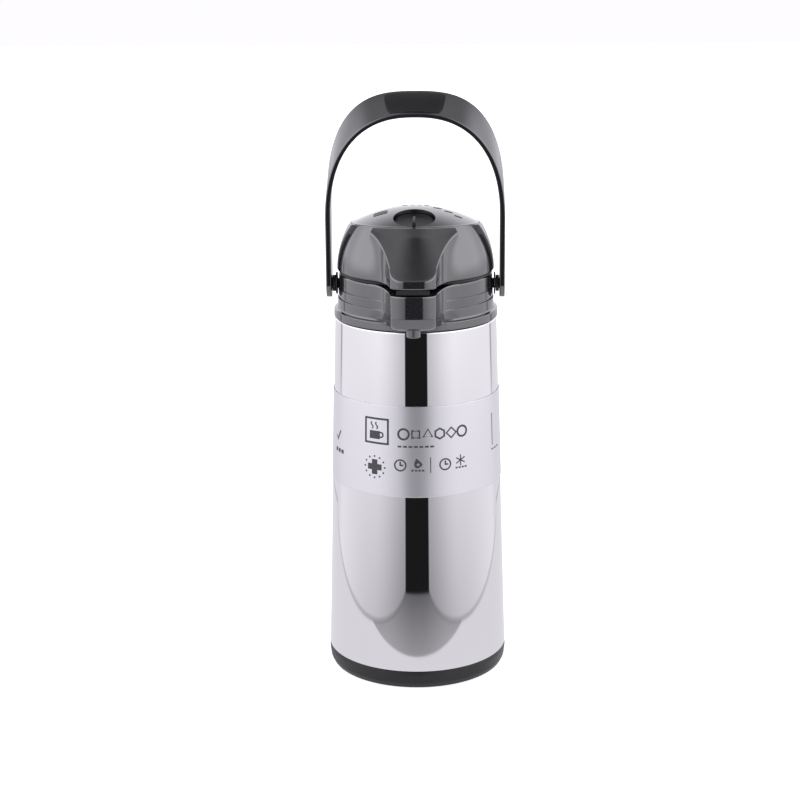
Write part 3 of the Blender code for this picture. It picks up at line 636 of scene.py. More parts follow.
@dataclass
class Studio:
    """Camera, world and floor."""

    focal_mm: float = 85.4
    distance: float = 1.466
    height: float = 0.622
    azimuth_deg: float = 1.4
    pitch_deg: float = 15.36
    pan_deg: float = -0.51
    roll_deg: float = -0.44
    gap_deg: float = 15.6
    box_end_deg: float = 130.5
    table_deg: float = 17.2
    table_light: float = 0.84
    floor_glow: float = 0.72

    def build(self) -> None:
        """Make the camera, the world and the floor."""
        self.camera()
        self.world()
        self.floor()
        view = bpy.context.scene.view_settings
        view.view_transform = "Standard"
        view.look = "None"

    def camera(self) -> None:
        """Place the camera from its height, distance and turn."""
        pan, pitch, roll = (math.radians(a) for a in (self.pan_deg, self.pitch_deg, self.roll_deg))
        level = math.cos(pitch)
        ahead = Vector((math.sin(pan) * level, math.cos(pan) * level, -math.sin(pitch)))
        side = Vector((math.cos(pan), -math.sin(pan), 0.0))
        up = side.cross(ahead)
        side, up = (side * math.cos(roll) + up * math.sin(roll),
                    up * math.cos(roll) - side * math.sin(roll))
        turn = Matrix((side, up, -ahead)).transposed().to_4x4()
        around = Matrix.Rotation(math.radians(self.azimuth_deg), 4, "Z")
        data = bpy.data.cameras.new("camera")
        data.lens = self.focal_mm
        data.sensor_width = 36.0
        data.clip_start = 0.05
        camera = linked("camera", data)
        camera.matrix_world = around @ Matrix.Translation((0.0, -self.distance, self.height)) @ turn
        bpy.context.scene.camera = camera

    def world(self) -> None:
        """Two tall soft boxes in front with a dark gap between them, over a pale table."""
        world = bpy.data.worlds.new("studio")
        world.use_nodes = True
        bpy.context.scene.world = world
        graph = Graph(world.node_tree)
        x, y, z = graph.split(graph.coordinates("Generated"))
        degrees = 180.0 / math.pi
        azimuth = abs(x.atan2(y * -1.0) * degrees - self.azimuth_deg)
        height = z.asin() * degrees
        light = self.table(self.boxes(azimuth, height), azimuth, height * -1.0)
        camera_ray = Value(graph, graph.node("ShaderNodeLightPath").outputs["Is Camera Ray"])
        light = light * (1.0 - camera_ray) + camera_ray
        glow = {"Color": rgba(0.99, 0.975, 1.03), "Strength": light}
        tint = graph.node("ShaderNodeBackground", inputs=glow)
        graph.node("ShaderNodeOutputWorld", inputs={"Surface": tint.outputs[0]})

    def boxes(self, azimuth: Value, height: Value) -> Value:
        """Brightness of the soft boxes and the room behind them.

        Args:
            azimuth: degrees to either side of the front.
            height: degrees above the horizon.

        Returns:
            The brightness: it grows to the sides and upwards, dims overhead, and drops to
            nearly black in the gap between the boxes.
        """
        aside = 0.39 + azimuth.ramp(4.0, 60.0) * 0.40 + azimuth.ramp(45.0, 130.0) * 0.18
        aside = aside - azimuth.ramp(122.0, 134.0) * 0.12
        climb = ((height + 19.1) / 8.5).clamp() * 8.5 - 3.0
        light = aside * (1.0 + climb * (0.092 - azimuth.ramp(10.0, 130.0) * 0.082))
        fronts = 1.0 - azimuth.ramp(100.0, 125.0)
        light = light * (1.0 + height.ramp(-10.0, 3.0) * fronts * 0.75)
        light = light + azimuth.ramp(105.0, 140.0) * height.ramp(-6.0, 2.0) * 0.6
        seam = 1.0 - abs(azimuth - self.box_end_deg).ramp(1.0, 3.5)
        seam = seam * height.ramp(-15.2, -12.2) * (1.0 - height.ramp(-8.0, 0.0))
        light = light * (1.0 - seam * 0.5)
        back = azimuth.ramp(70.0, 130.0)
        overhead = height.ramp(38.0, 62.0) * 0.72 * (1.0 - back)
        overhead = overhead + height.ramp(22.0, 58.0) * 0.75 * back
        light = light * (1.0 - overhead) * (1.0 - height.ramp(78.0, 86.0) * 0.85)
        gap = 1.0 - azimuth.ramp(self.gap_deg - 0.9, self.gap_deg + 0.6)
        gap = gap * (1.0 - height.ramp(35.0, 58.0))
        return light * (1.0 - gap) + gap * 0.012

    def table(self, above: Value, azimuth: Value, depth: Value) -> Value:
        """Put the table under the soft boxes.

        Args:
            above: brightness of what stands on the table.
            azimuth: degrees to either side of the front.
            depth: degrees below the horizon.

        Returns:
            The brightness with the table: each box ends below in a half ellipse with a thin
            dark rim, and the pot's own shadow is a darker ellipse in front.
        """
        bulge = (azimuth.largest(self.gap_deg) - 75.0) / 62.0
        edge = self.table_deg + (1.0 - bulge * bulge).clamp() ** 0.5 * 1.85
        low = (depth - edge).ramp(0.0, 0.08)
        rim = 1.0 - abs(depth - edge).ramp(0.03, 0.13)
        drop, reach = (depth - 18.2) / 1.45, 75.0
        shadow = (1.0 - drop * drop - azimuth * azimuth / reach ** 2).ramp(-0.02, 0.02)
        shade = 0.22 + (depth - 18.4) * 0.12 + azimuth.ramp(3.0, 45.0) * 0.12
        table = self.table_light * (1.0 - shadow) + shade * shadow
        return (above * (1.0 - low) + table * low) * (1.0 - rim * 0.3)

    def floor(self) -> None:
        """A wide pale floor, seen by the camera but left out of the reflections."""
        mesh = bpy.data.meshes.new("floor")
        reach, level = 6.0, -0.0002
        mesh.from_pydata([(-reach, -reach, level), (reach, -reach, level), (reach, reach, level),
                          (-reach, reach, level)], [], [(0, 1, 2, 3)])
        obj = linked("floor", mesh)
        material = bpy.data.materials.new("floor")
        material.use_nodes = True
        graph = Graph(material.node_tree)
        matt = graph.node("ShaderNodeBsdfDiffuse", inputs={"Color": rgba(0.95, 0.945, 0.95)})
        white = {"Color": rgba(1.0, 1.0, 1.0), "Strength": self.floor_glow}
        glow = graph.node("ShaderNodeEmission", inputs=white)
        both = graph.node("ShaderNodeAddShader", inputs={0: matt.outputs[0], 1: glow.outputs[0]})
        graph.node("ShaderNodeOutputMaterial", inputs={"Surface": both.outputs[0]})
        mesh.materials.append(material)
        obj.visible_glossy = False


# ------------------------------------------------------------------ base, casing and label

@dataclass
class Body:
    """The steel casing with its label, and the plastic base under it."""

    bottom_z: float = 15.5
    top_z: float = 289.6
    bottom_r: float = 72.0
    top_r: float = 64.0
    wall: float = 0.8
    label_low: float = 159.3
    label_high: float = 231.7
    segments: int = 256

    def radius(self, z: float | Array) -> float | Array:
        """The casing tapers in a straight line from its foot to its shoulder."""
        share = (z - self.bottom_z) / (self.top_z - self.bottom_z)
        return self.bottom_r + (self.top_r - self.bottom_r) * share

    def build(self) -> None:
        """Make the casing, the label with its print, and the base."""
        self.casing()
        self.label()
        self.base()
        LabelPrint(self).build()

    def casing(self) -> None:
        """A tapered tube with its top rolled in under the collar."""
        inner_low, inner_high = self.bottom_r - self.wall, self.top_r - self.wall
        mesh = turned([
            (58.0, self.top_z, 0.2), (self.top_r - 0.2, self.top_z, 1.2),
            (self.bottom_r, self.bottom_z, 0.25), (inner_low, self.bottom_z, 0.25),
            (inner_high, self.top_z - self.wall, 0.6), (58.0, self.top_z - self.wall, 0.2)],
            segments=self.segments)
        stand_in("steel_casing", mesh, STEEL)

    def label(self) -> None:
        """A thin foil band wrapped round the casing."""
        low, high, near, far = self.label_low, self.label_high, 0.12, 0.4
        mesh = turned([
            (self.radius(high) + near, high, 0.05), (self.radius(high) + far, high, 0.12),
            (self.radius(low) + far, low, 0.12), (self.radius(low) + near, low, 0.05)],
            segments=self.segments, steps=3)
        stand_in("label_band", mesh, LABEL)

    def base(self) -> None:
        """The base cup, with a standing ring and an upstand inside the casing."""
        mesh = turned([
            (68.0, 21.0, 0.6), (70.6, 21.0, 0.6), (70.6, 15.2, 0.1), (71.9, 15.2, 0.5),
            (72.2, 12.0, 3.0), (71.4, 5.0, 4.0), (69.4, 1.0, 2.0), (67.3, 0.0, 0.8),
            (60.0, 0.0, 0.6), (58.5, 1.5, 0.6), (32.5, 1.5, 0.5), (32.5, 9.0, 0.5),
            (36.0, 9.0, 0.8), (37.0, 4.5, 0.8), (68.0, 4.5, 1.0)], segments=200)
        stand_in("base_cup", mesh, SATIN_BLACK)


@dataclass
class LabelPrint:
    """Plain pictograms printed on the label: a cup, shapes, a badge, clocks, flame and star."""

    body: Body
    lift: float = 0.46
    centre_z: float = 197.0
    parts: list[bpy.types.Mesh] = field(default_factory=list)

    def wrap(self, x: Array, z: Array) -> Array:
        """Points of a flat drawing wrapped on the label; x is the run round the label."""
        z = z + self.centre_z
        r = self.body.radius(z) + self.lift
        angle = x / self.body.radius(self.centre_z)
        return np.stack((r * np.sin(angle), -r * np.cos(angle), z), axis=-1) * MM

    def sheet(self, x: Array, z: Array) -> None:
        """Add a grid of points as a patch of ink."""
        rows, columns = x.shape
        index = np.arange(rows * columns).reshape(rows, columns)
        quads = np.stack((index[:-1, :-1], index[:-1, 1:], index[1:, 1:], index[1:, :-1]), axis=-1)
        mesh = bpy.data.meshes.new("ink")
        mesh.from_pydata(self.wrap(x, z).reshape(-1, 3).tolist(), [], quads.reshape(-1, 4).tolist())
        self.parts.append(mesh)

    def bar(self, x: float, z: float, width: float, height: float) -> None:
        """A rectangle from its lower left corner."""
        columns = max(2, int(width) + 1)
        self.sheet(*np.meshgrid(np.linspace(x, x + width, columns), np.array((z, z + height))))

    def disc(self, x: float, z: float, inner: float, outer: float, sides: int = 48,
             turn: float = 0.0) -> None:
        """A ring or many-sided outline about a point, filled where inner is 0."""
        t = np.linspace(0.0, math.tau, sides + 1) + turn
        r = np.array((inner, outer))[:, None]
        self.sheet(x + r * np.sin(t), z + r * np.cos(t))

    def stroke(self, points: list[tuple[float, float]], width: float) -> None:
        """A line of even width through points, offset along its normals."""
        path = np.array(points, dtype=float)
        along = np.gradient(path, axis=0)
        along /= np.linalg.norm(along, axis=1, keepdims=True)
        normal = np.stack((-along[:, 1], along[:, 0]), axis=1) * width / 2
        both = np.stack((path - normal, path + normal))
        self.sheet(both[..., 0], both[..., 1])

    def build(self) -> None:
        """Draw every mark and show them as one piece of ink."""
        self.emblem(-41.0, 3.5)
        self.title(-13.0, 8.0)
        self.badge(-32.0, -15.0)
        self.clocks(-15.0, -16.5)
        self.sides(-2.0)
        mesh = merged(self.parts)
        mesh.shade_smooth()
        show("label_print", mesh, INK, "pot")

    def emblem(self, x: float, z: float) -> None:
        """A plain cup in a square frame, with two curls of steam."""
        size, line = 21.0, 1.6
        for dx, dz, width, height in ((0, 0, size, line), (0, size - line, size, line),
                                      (0, 0, line, size), (size - line, 0, line, size)):
            self.bar(x + dx, z + dz, width, height)
        self.bar(x + 4.5, z + 4.0, 9.0, 6.5)
        self.disc(x + 14.2, z + 7.6, 1.3, 2.5)
        t = np.linspace(0.0, 1.0, 13)
        for dx in (6.6, 10.6):
            self.stroke(list(zip(x + dx + 0.8 * np.sin(6.0 * t), z + 12.0 + 5.4 * t)), 1.1)

    def title(self, x: float, z: float) -> None:
        """A row of plain outlined shapes, with a thin row of dashes under it."""
        for i, sides in enumerate((48, 4, 3, 6, 4, 48)):
            turn = math.pi / 4 if i == 1 else 0.0
            self.disc(x + 4.6 + i * 9.4, z + 5.0, 3.3, 4.9, sides, turn)
        for i in range(7):
            self.bar(x + i * 4.2, z - 5.6, 3.0, 1.4)

    def sides(self, z: float) -> None:
        """Small plain marks well round to the left and the right."""
        self.stroke([(-79.0, z + 3.0), (-76.5, z), (-71.5, z + 8.0)], 1.8)
        for i in range(3):
            self.bar(-80.0 + i * 5.0, z - 10.0, 3.6, 3.2)
            self.bar(73.0 + i * 5.0, z - 8.0, 3.2, 1.2)
        self.bar(74.0, z - 4.0, 1.0, 26.0)

    def badge(self, x: float, z: float) -> None:
        """A ring of short marks round a solid cross."""
        for i in range(12):
            t = math.tau * i / 12
            self.disc(x + 8.6 * math.sin(t), z + 8.6 * math.cos(t), 0.0, 0.75)
        self.bar(x - 6.0, z - 2.4, 12.0, 4.8)
        self.bar(x - 2.4, z + 2.4, 4.8, 3.6)
        self.bar(x - 2.4, z - 6.0, 4.8, 3.6)

    def clocks(self, x: float, z: float) -> None:
        """Two clock marks, one with a flame and one with a snow star, split by a line."""
        for left in (x, x + 35.0):
            self.disc(left + 4.0, z + 4.6, 3.7, 4.9)
            self.bar(left + 3.4, z + 4.4, 1.2, 3.2)
            self.bar(left + 3.4, z + 4.0, 3.0, 1.2)
            for i in range(4):
                self.bar(left + 12.5 + i * 2.7, z, 1.9, 1.3)
        t = np.linspace(0.0, 1.0, 15)
        width = 3.6 * np.sin(math.pi * t ** 0.8) ** 0.9 * (1.0 - 0.35 * t)
        middle = x + 17.0 + 0.9 * np.sin(4.0 * t)
        self.sheet(np.stack((middle - width, middle + width)), np.stack((t, t)) * 8.0 + z + 2.4)
        self.bar(x + 27.0, z - 1.5, 0.7, 12.5)
        middle_x, middle_z, reach = x + 52.0, z + 6.4, 4.4
        for turn in (0.0, math.pi / 3, math.tau / 3):
            dx, dz = reach * math.sin(turn), reach * math.cos(turn)
            self.stroke([(middle_x - dx, middle_z - dz), (middle_x, middle_z),
                         (middle_x + dx, middle_z + dz)], 1.0)


# ------------------------------------------------------------------ head outlines

@dataclass
class Nose:
    """The nose's outline from above: a round end, then a hollow flare into the head."""

    reach: float = 88.0
    half_width: float = 17.6
    shoulder: float = 78.0
    root: float = 46.0
    flare: float = 8.0
    end_power: float = 2.6

    def radius(self, angles: Array) -> Array:
        """Distance from the axis to the outline at each angle from the front, 0 past its root."""
        a = np.linspace(0.0, math.pi / 2, 200)
        power = 2.0 / self.end_power
        end_x = self.half_width * np.sin(a) ** power
        end_d = self.shoulder + (self.reach - self.shoulder) * np.cos(a) ** power
        d = np.linspace(self.shoulder, self.root, 200)[1:]
        u = (self.shoulder - d) / (self.shoulder - self.root)
        side_x = self.half_width + self.flare * (u + u * u)
        x, d = np.concatenate((end_x, side_x)), np.concatenate((end_d, d))
        folded = np.abs((angles + math.pi) % math.tau - math.pi)
        return np.interp(folded, np.arctan2(x, d), np.hypot(x, d), right=0.0)


def head_angles(front: int = 261, rest: int = 200) -> Array:
    """Angles from the front round the head, closer together across the nose."""
    near = np.linspace(-44.0, 44.0, front)
    far = np.linspace(44.0, 316.0, rest)[1:-1]
    return np.radians(np.concatenate((near, far)))


def ring(angles: Array, radii: Array | float, heights: Array | float) -> Array:
    """One row of points about the Z axis, with angles measured from the front."""
    x, y = radii * np.sin(angles), -radii * np.cos(angles)
    return np.stack((x, y, heights + 0 * angles), axis=-1)


# ------------------------------------------------------------------ collar and hinge

@dataclass
class Collar:
    """The shoulder between the casing and the lid, with its nose and stepped tiers."""

    bottom_z: float = 289.9
    top_z: float = 324.4
    step_z: float = 313.8
    nose_dip: float = 2.4
    flange_r: float = 64.6
    flange_top: float = 297.0
    well_r: float = 56.2
    chin_z: float = 294.0
    chin_round: float = 7.0
    chin_inset: float = 14.0
    nose: Nose = field(default_factory=Nose)

    def tier_profile(self) -> Array:
        """The side wall from the flange up: three tiers, each stepped in above a groove."""
        return filleted([
            (61.9, self.flange_top, 0.0), (61.5, 298.2, 0.8), (61.4, 305.6, 0.3),
            (60.6, 306.0, 0.2), (60.7, 306.6, 0.3), (60.8, 312.8, 0.3), (60.0, 313.2, 0.2),
            (60.2, self.step_z, 0.3), (60.2, self.top_z - 4.0, 0.0), (60.2, self.top_z - 0.9, 0.8),
            (59.4, self.top_z, 0.0)], False, 4)

    def sunk(self, angles: Array, z: float) -> Array:
        """A height near the rim, lowered over the nose; it takes the whole dip at the rim."""
        over_nose = np.clip((self.nose.radius(angles) - 60.0) / 20.0, 0.0, 1.0)
        low, high = self.step_z, self.top_z - 4.9
        return z - over_nose * self.nose_dip * float(np.clip((z - low) / (high - low), 0, 1))

    def chin(self, z: float) -> float:
        """How far the nose's underside draws in: a quarter ellipse below its straight front."""
        below = min(max((self.chin_z + self.chin_round - z) / self.chin_round, 0.0), 1.0)
        return self.chin_inset * (1.0 - math.sqrt(1.0 - below ** 2))

    def outer_rows(self, angles: Array) -> list[Array]:
        """Rows up the outside; the nose stands out of the wall from its rounded chin upwards."""
        nose = self.nose.radius(angles) - 0.8
        low, high = self.bottom_z, self.flange_top
        flange = filleted([
            (63.2, low, 0.0), (self.flange_r, low + 0.6, 0.5),
            (self.flange_r - 0.2, high - 0.6, 0.7), (61.9, high, 0.0)], False, 5)
        turn = np.linspace(0.0, 1.0, 12)
        extra = self.chin_z + (high - 1.4 - self.chin_z) * turn ** 2
        between = np.stack((np.interp(extra, flange[:, 1], flange[:, 0]), extra), axis=1)
        walls = np.concatenate((flange, between))
        walls = np.concatenate((walls[np.argsort(walls[:, 1], kind="stable")], self.tier_profile()))
        rows = []
        for r, z in walls:
            lip = max(0.0, z - (self.top_z - 0.7))
            reach = nose - self.chin(z) - lip * 0.6 if z >= self.chin_z else 0 * nose
            rows.append(ring(angles, soft_max(r + 0 * angles, reach, 6.0), self.sunk(angles, z)))
        return rows

    def build(self) -> None:
        """Make the collar with its pipe channel and hinge ears, and the hinge pin."""
        angles = head_angles()
        rows = self.outer_rows(angles)
        inner = filleted([
            (58.6, self.top_z, 0.0), (self.well_r + 0.4, self.top_z, 0.7),
            (self.well_r, 306.0, 1.0), (31.0, 305.0, 0.8), (28.2, 303.0, 0.8),
            (28.2, 291.4, 0.4), (33.0, 291.4, 0.4), (35.0, 301.5, 1.0), (55.0, 301.5, 1.0),
            (55.0, 284.0, 0.4), (57.4, 284.0, 0.4), (57.4, self.bottom_z, 0.2)], False, 4)
        rows += [ring(angles, r, self.sunk(angles, z)) for r, z in inner]
        mesh = outward(Skin(np.array(rows)).mesh())
        ears = []
        for low in (-15.0, 9.0):
            ears.append(hinge_bar(4.0, low, low + 6.0, 0.5))
            ears.append(block((low, 58.8, 309.0), (low + 6.0, 67.8, 322.0), 1.2))
        mesh = carve(mesh, ears, Carving.JOIN)
        mesh = carve(mesh, [
            cylinder(5.7, (0, SPOUT_Y, 290.0), (0, SPOUT_Y, 315.0)),
            block((-6.6, SPOUT_Y, 307.4), (6.6, -50.0, 340.0)),
            cylinder(6.6, (0, SPOUT_Y, 307.4), (0, SPOUT_Y, 340.0)),
            *pivot_bores(4.4, 50.0, 70.0), hinge_bar(1.9, -20.0, 20.0, segments=32)])
        mesh = carve(mesh, [block((-7.4, -71.0, 319.2), (7.4, -69.0, 321.6), 0.3)], Carving.JOIN)
        stand_in("collar", outward(mesh), GLOSS_BLACK)
        stand_in("hinge_pin", hinge_bar(1.6, -15.6, 15.6, 0.4), WIRE)


# ------------------------------------------------------------------ lid

@dataclass
class Lid:
    """The domed lid with its hood running down over the nose."""

    bottom_z: float = 327.4
    bottom_r: float = 61.7
    ledge_z: float = 363.4
    ledge_r: float = 51.5
    ledge_slope: float = 0.08
    hole_r: float = 50.2
    hood_tip_z: float = 333.5
    rows: int = 72
    nose: Nose = field(default_factory=Nose)

    def dome(self, share: Array | float) -> Array | float:
        """The dome draws in slowly at first and faster towards the ledge."""
        return self.ledge_r + (self.bottom_r - self.ledge_r) * (1.0 - share ** 1.9) ** 0.95

    def ledge(self, angles: Array, radius: float) -> Array:
        """The ledge is a plane, higher at the front."""
        return self.ledge_z + self.ledge_slope * radius * np.cos(angles)

    def row(self, angles: Array, nose: Array, share: float) -> Array:
        """One row: the dome, with the hood's sloping face standing out over the nose."""
        top = self.ledge(angles, self.ledge_r)
        z = self.bottom_z + (top - self.bottom_z) * share
        hood_top = self.ledge_z + self.ledge_slope * self.ledge_r
        run = np.clip((hood_top - z) / (hood_top - self.hood_tip_z), 0.0, 1.0)
        span = run * (self.nose.reach - self.ledge_r)
        hood = self.ledge_r + span / np.maximum(np.cos(angles), 0.5)
        ridge = soft_min(hood, nose, 1.1)
        radius = soft_max(self.dome(share) + 0 * angles, ridge, 4.0)
        lip = 0.8 * max(0.0, 1.0 - share / 0.02) ** 2
        return ring(angles, radius - lip, z)

    def build(self) -> None:
        """Make the shell and its hinge knuckle."""
        angles = head_angles()
        nose = self.nose.radius(angles)
        t = np.linspace(0.0, 1.0, self.rows)
        shares = np.concatenate(((0.0, 0.004, 0.009, 0.014), 0.02 + 0.98 * t))
        rows = [self.row(angles, nose, float(s)) for s in shares]
        rows.append(ring(angles, self.ledge_r - 0.35, self.ledge(angles, self.ledge_r) + 0.12))
        rows.append(ring(angles, self.hole_r + 0.35, self.ledge(angles, self.hole_r) - 0.02))
        rows.append(ring(angles, self.hole_r, self.ledge(angles, self.hole_r) - 0.4))
        inner = filleted([
            (self.hole_r, 361.0, 0.0), (self.hole_r, 357.6, 0.3), (52.2, 356.4, 0.5),
            (54.3, 350.0, 2.0), (57.3, 338.0, 2.0), (58.4, self.bottom_z, 0.0)], False, 3)
        rows += [ring(angles, r, np.minimum(z, self.ledge(angles, r) - 0.6)) for r, z in inner]
        mesh = outward(Skin(np.array(rows)).mesh(), 40.0)
        mesh = carve(mesh, [
            hinge_bar(4.0, -8.6, 8.6, 0.5),
            block((-8.6, 60.4, 325.0), (8.6, 67.9, 333.0), 1.0)], Carving.JOIN)
        mesh = carve(mesh, [
            block((-7.5, -83.4, 320.0), (7.5, -53.0, 335.0)),
            cylinder(1.3, (-12.4, -80.5, 331.5), (12.4, -80.5, 331.5), segments=24),
            hinge_bar(1.9, -20.0, 20.0, segments=32)])
        stand_in("lid_shell", outward(mesh, 40.0), GLOSS_BLACK)


# ------------------------------------------------------------------ push button and lock dial

@dataclass
class Button:
    """The domed push button with the lock dial let into its front."""

    radius: float = 49.8
    rise: float = 13.2
    wall: float = 2.2
    skirt_z: float = 346.0
    dial_y: float = -33.0
    dial_r: float = 15.6
    tilt: float = math.radians(15.0)
    lid: Lid = field(default_factory=Lid)

    def height(self, x: Array | float, y: Array | float) -> Array | float:
        """A shallow dome whose rim follows the sloping ledge."""
        share = (x * x + y * y) / self.radius ** 2
        return self.lid.ledge_z - self.lid.ledge_slope * y + self.rise * (1.0 - share)

    def point(self, along: float, up: float) -> tuple[float, float, float]:
        """A point on the dial's tilted axis: along the slope to the front, and up off it."""
        y = self.dial_y - math.cos(self.tilt) * along - math.sin(self.tilt) * up
        z = self.height(0.0, self.dial_y) - math.sin(self.tilt) * along + math.cos(self.tilt) * up
        return (0.0, y, float(z))

    def rows(self) -> Array:
        """The button's skin: dome, rounded rim, skirt and the hollow underside."""
        angles = np.linspace(0.0, math.tau, 240, endpoint=False)
        x, y = np.sin(angles), -np.cos(angles)
        out = []
        rim = 1.3
        for r in np.concatenate(((0.4,), np.linspace(2.0, self.radius - rim, 46))):
            out.append(ring(angles, r, self.height(r * x, r * y)))
        for a in np.linspace(0.0, math.pi / 2, 8)[1:]:
            r = self.radius - rim + rim * math.sin(a)
            edge = self.height((self.radius - rim) * x, (self.radius - rim) * y)
            out.append(ring(angles, r, edge - rim * (1.0 - math.cos(a)) * 0.9))
        inner = self.radius - self.wall
        out.append(ring(angles, self.radius, self.skirt_z))
        out.append(ring(angles, inner, self.skirt_z))
        for r in np.concatenate((np.linspace(inner, 2.0, 20), (0.4,))):
            out.append(ring(angles, r, self.height(r * x, r * y) - self.wall - 0.4))
        return np.array(out)

    def build(self) -> None:
        """Make the button with its dial well, then the dial, the cam and the marks."""
        mesh = outward(Skin(self.rows(), Ends.FLAT).mesh())
        inside = outward(Skin(self.rows()[:56], Ends.FLAT).mesh())
        well = cylinder(self.dial_r + 3.0, self.point(0, -8.6), self.point(0, 2.2), segments=128)
        mesh = carve(mesh, [carve(well, [inside], Carving.KEEP_INSIDE)], Carving.JOIN)
        mesh = carve(mesh, [
            cylinder(self.dial_r + 0.6, self.point(0, -6.4), self.point(0, 14.0), segments=160),
            cylinder(3.4, self.point(0, -14.0), self.point(0, 2.0))])
        stand_in("push_button", outward(mesh), GLOSS_BLACK)
        self.dial()
        self.marks()

    def dial(self) -> None:
        """A shallow dished disc with an upright finger tab."""
        lift, thick = -6.1, 1.7
        dish = turned([
            (0.001, thick - 0.5, 0.0), (11.0, thick - 0.5, 2.0), (13.4, thick, 0.6),
            (self.dial_r, thick, 0.5), (self.dial_r, 0.0, 0.2), (0.001, 0.0, 0.0)], closed=False)
        tilt = Matrix.Rotation(self.tilt, 4, "X")
        at = Matrix.Translation(Vector(self.point(0, lift)) * MM)
        dish = moved(dish, at @ tilt)
        tab = block((-1.2, -5.5, -5.2), (1.2, 5.5, 1.6), 0.8)
        tab = moved(tab, Matrix.Translation(Vector(self.point(8.0, 0)) * MM) @ tilt)
        stem = cylinder(3.0, self.point(0, -11.0), self.point(0, -5.0))
        mesh = carve(dish, [tab, stem], Carving.JOIN)
        stand_in("lock_dial", outward(mesh), SATIN_BLACK)

    def marks(self) -> None:
        """Raised lock marks round the dial: a closed block on one side and dashes on the other."""
        places = (
            (-26.5, -15.0, 11.0, 9.0), (17.5, -6.0, 6.5, 2.2), (26.0, -11.0, 6.5, 2.2),
            (33.5, -17.0, 6.0, 2.2), (-8.5, 6.0, 4.6, 3.8), (-2.2, 6.0, 3.4, 3.8),
            (3.2, 6.0, 3.4, 3.8), (9.0, 6.0, 4.2, 3.8))
        mesh = outward(merged([self.mark(*place) for place in places]))
        show("button_marks", mesh, SATIN_BLACK, "button")

    def mark(self, x: float, y: float, width: float, depth: float) -> bpy.types.Mesh:
        """One raised mark that follows the dome."""
        t = np.linspace(0.0, math.tau, 25)[:-1]
        px = x + np.sign(np.cos(t)) * np.abs(np.cos(t)) ** 0.3 * width / 2
        py = y + np.sign(np.sin(t)) * np.abs(np.sin(t)) ** 0.3 * depth / 2
        rows = []
        for inset, lift in ((0.0, -0.4), (0.0, 0.12), (0.12, 0.25)):
            qx, qy = x + (px - x) * (1 - inset / width), y + (py - y) * (1 - inset / depth)
            rows.append(np.stack((qx, qy, self.height(qx, qy) + lift), axis=-1))
        return Skin(np.array(rows), Ends.FLAT).mesh()


# ------------------------------------------------------------------ handle

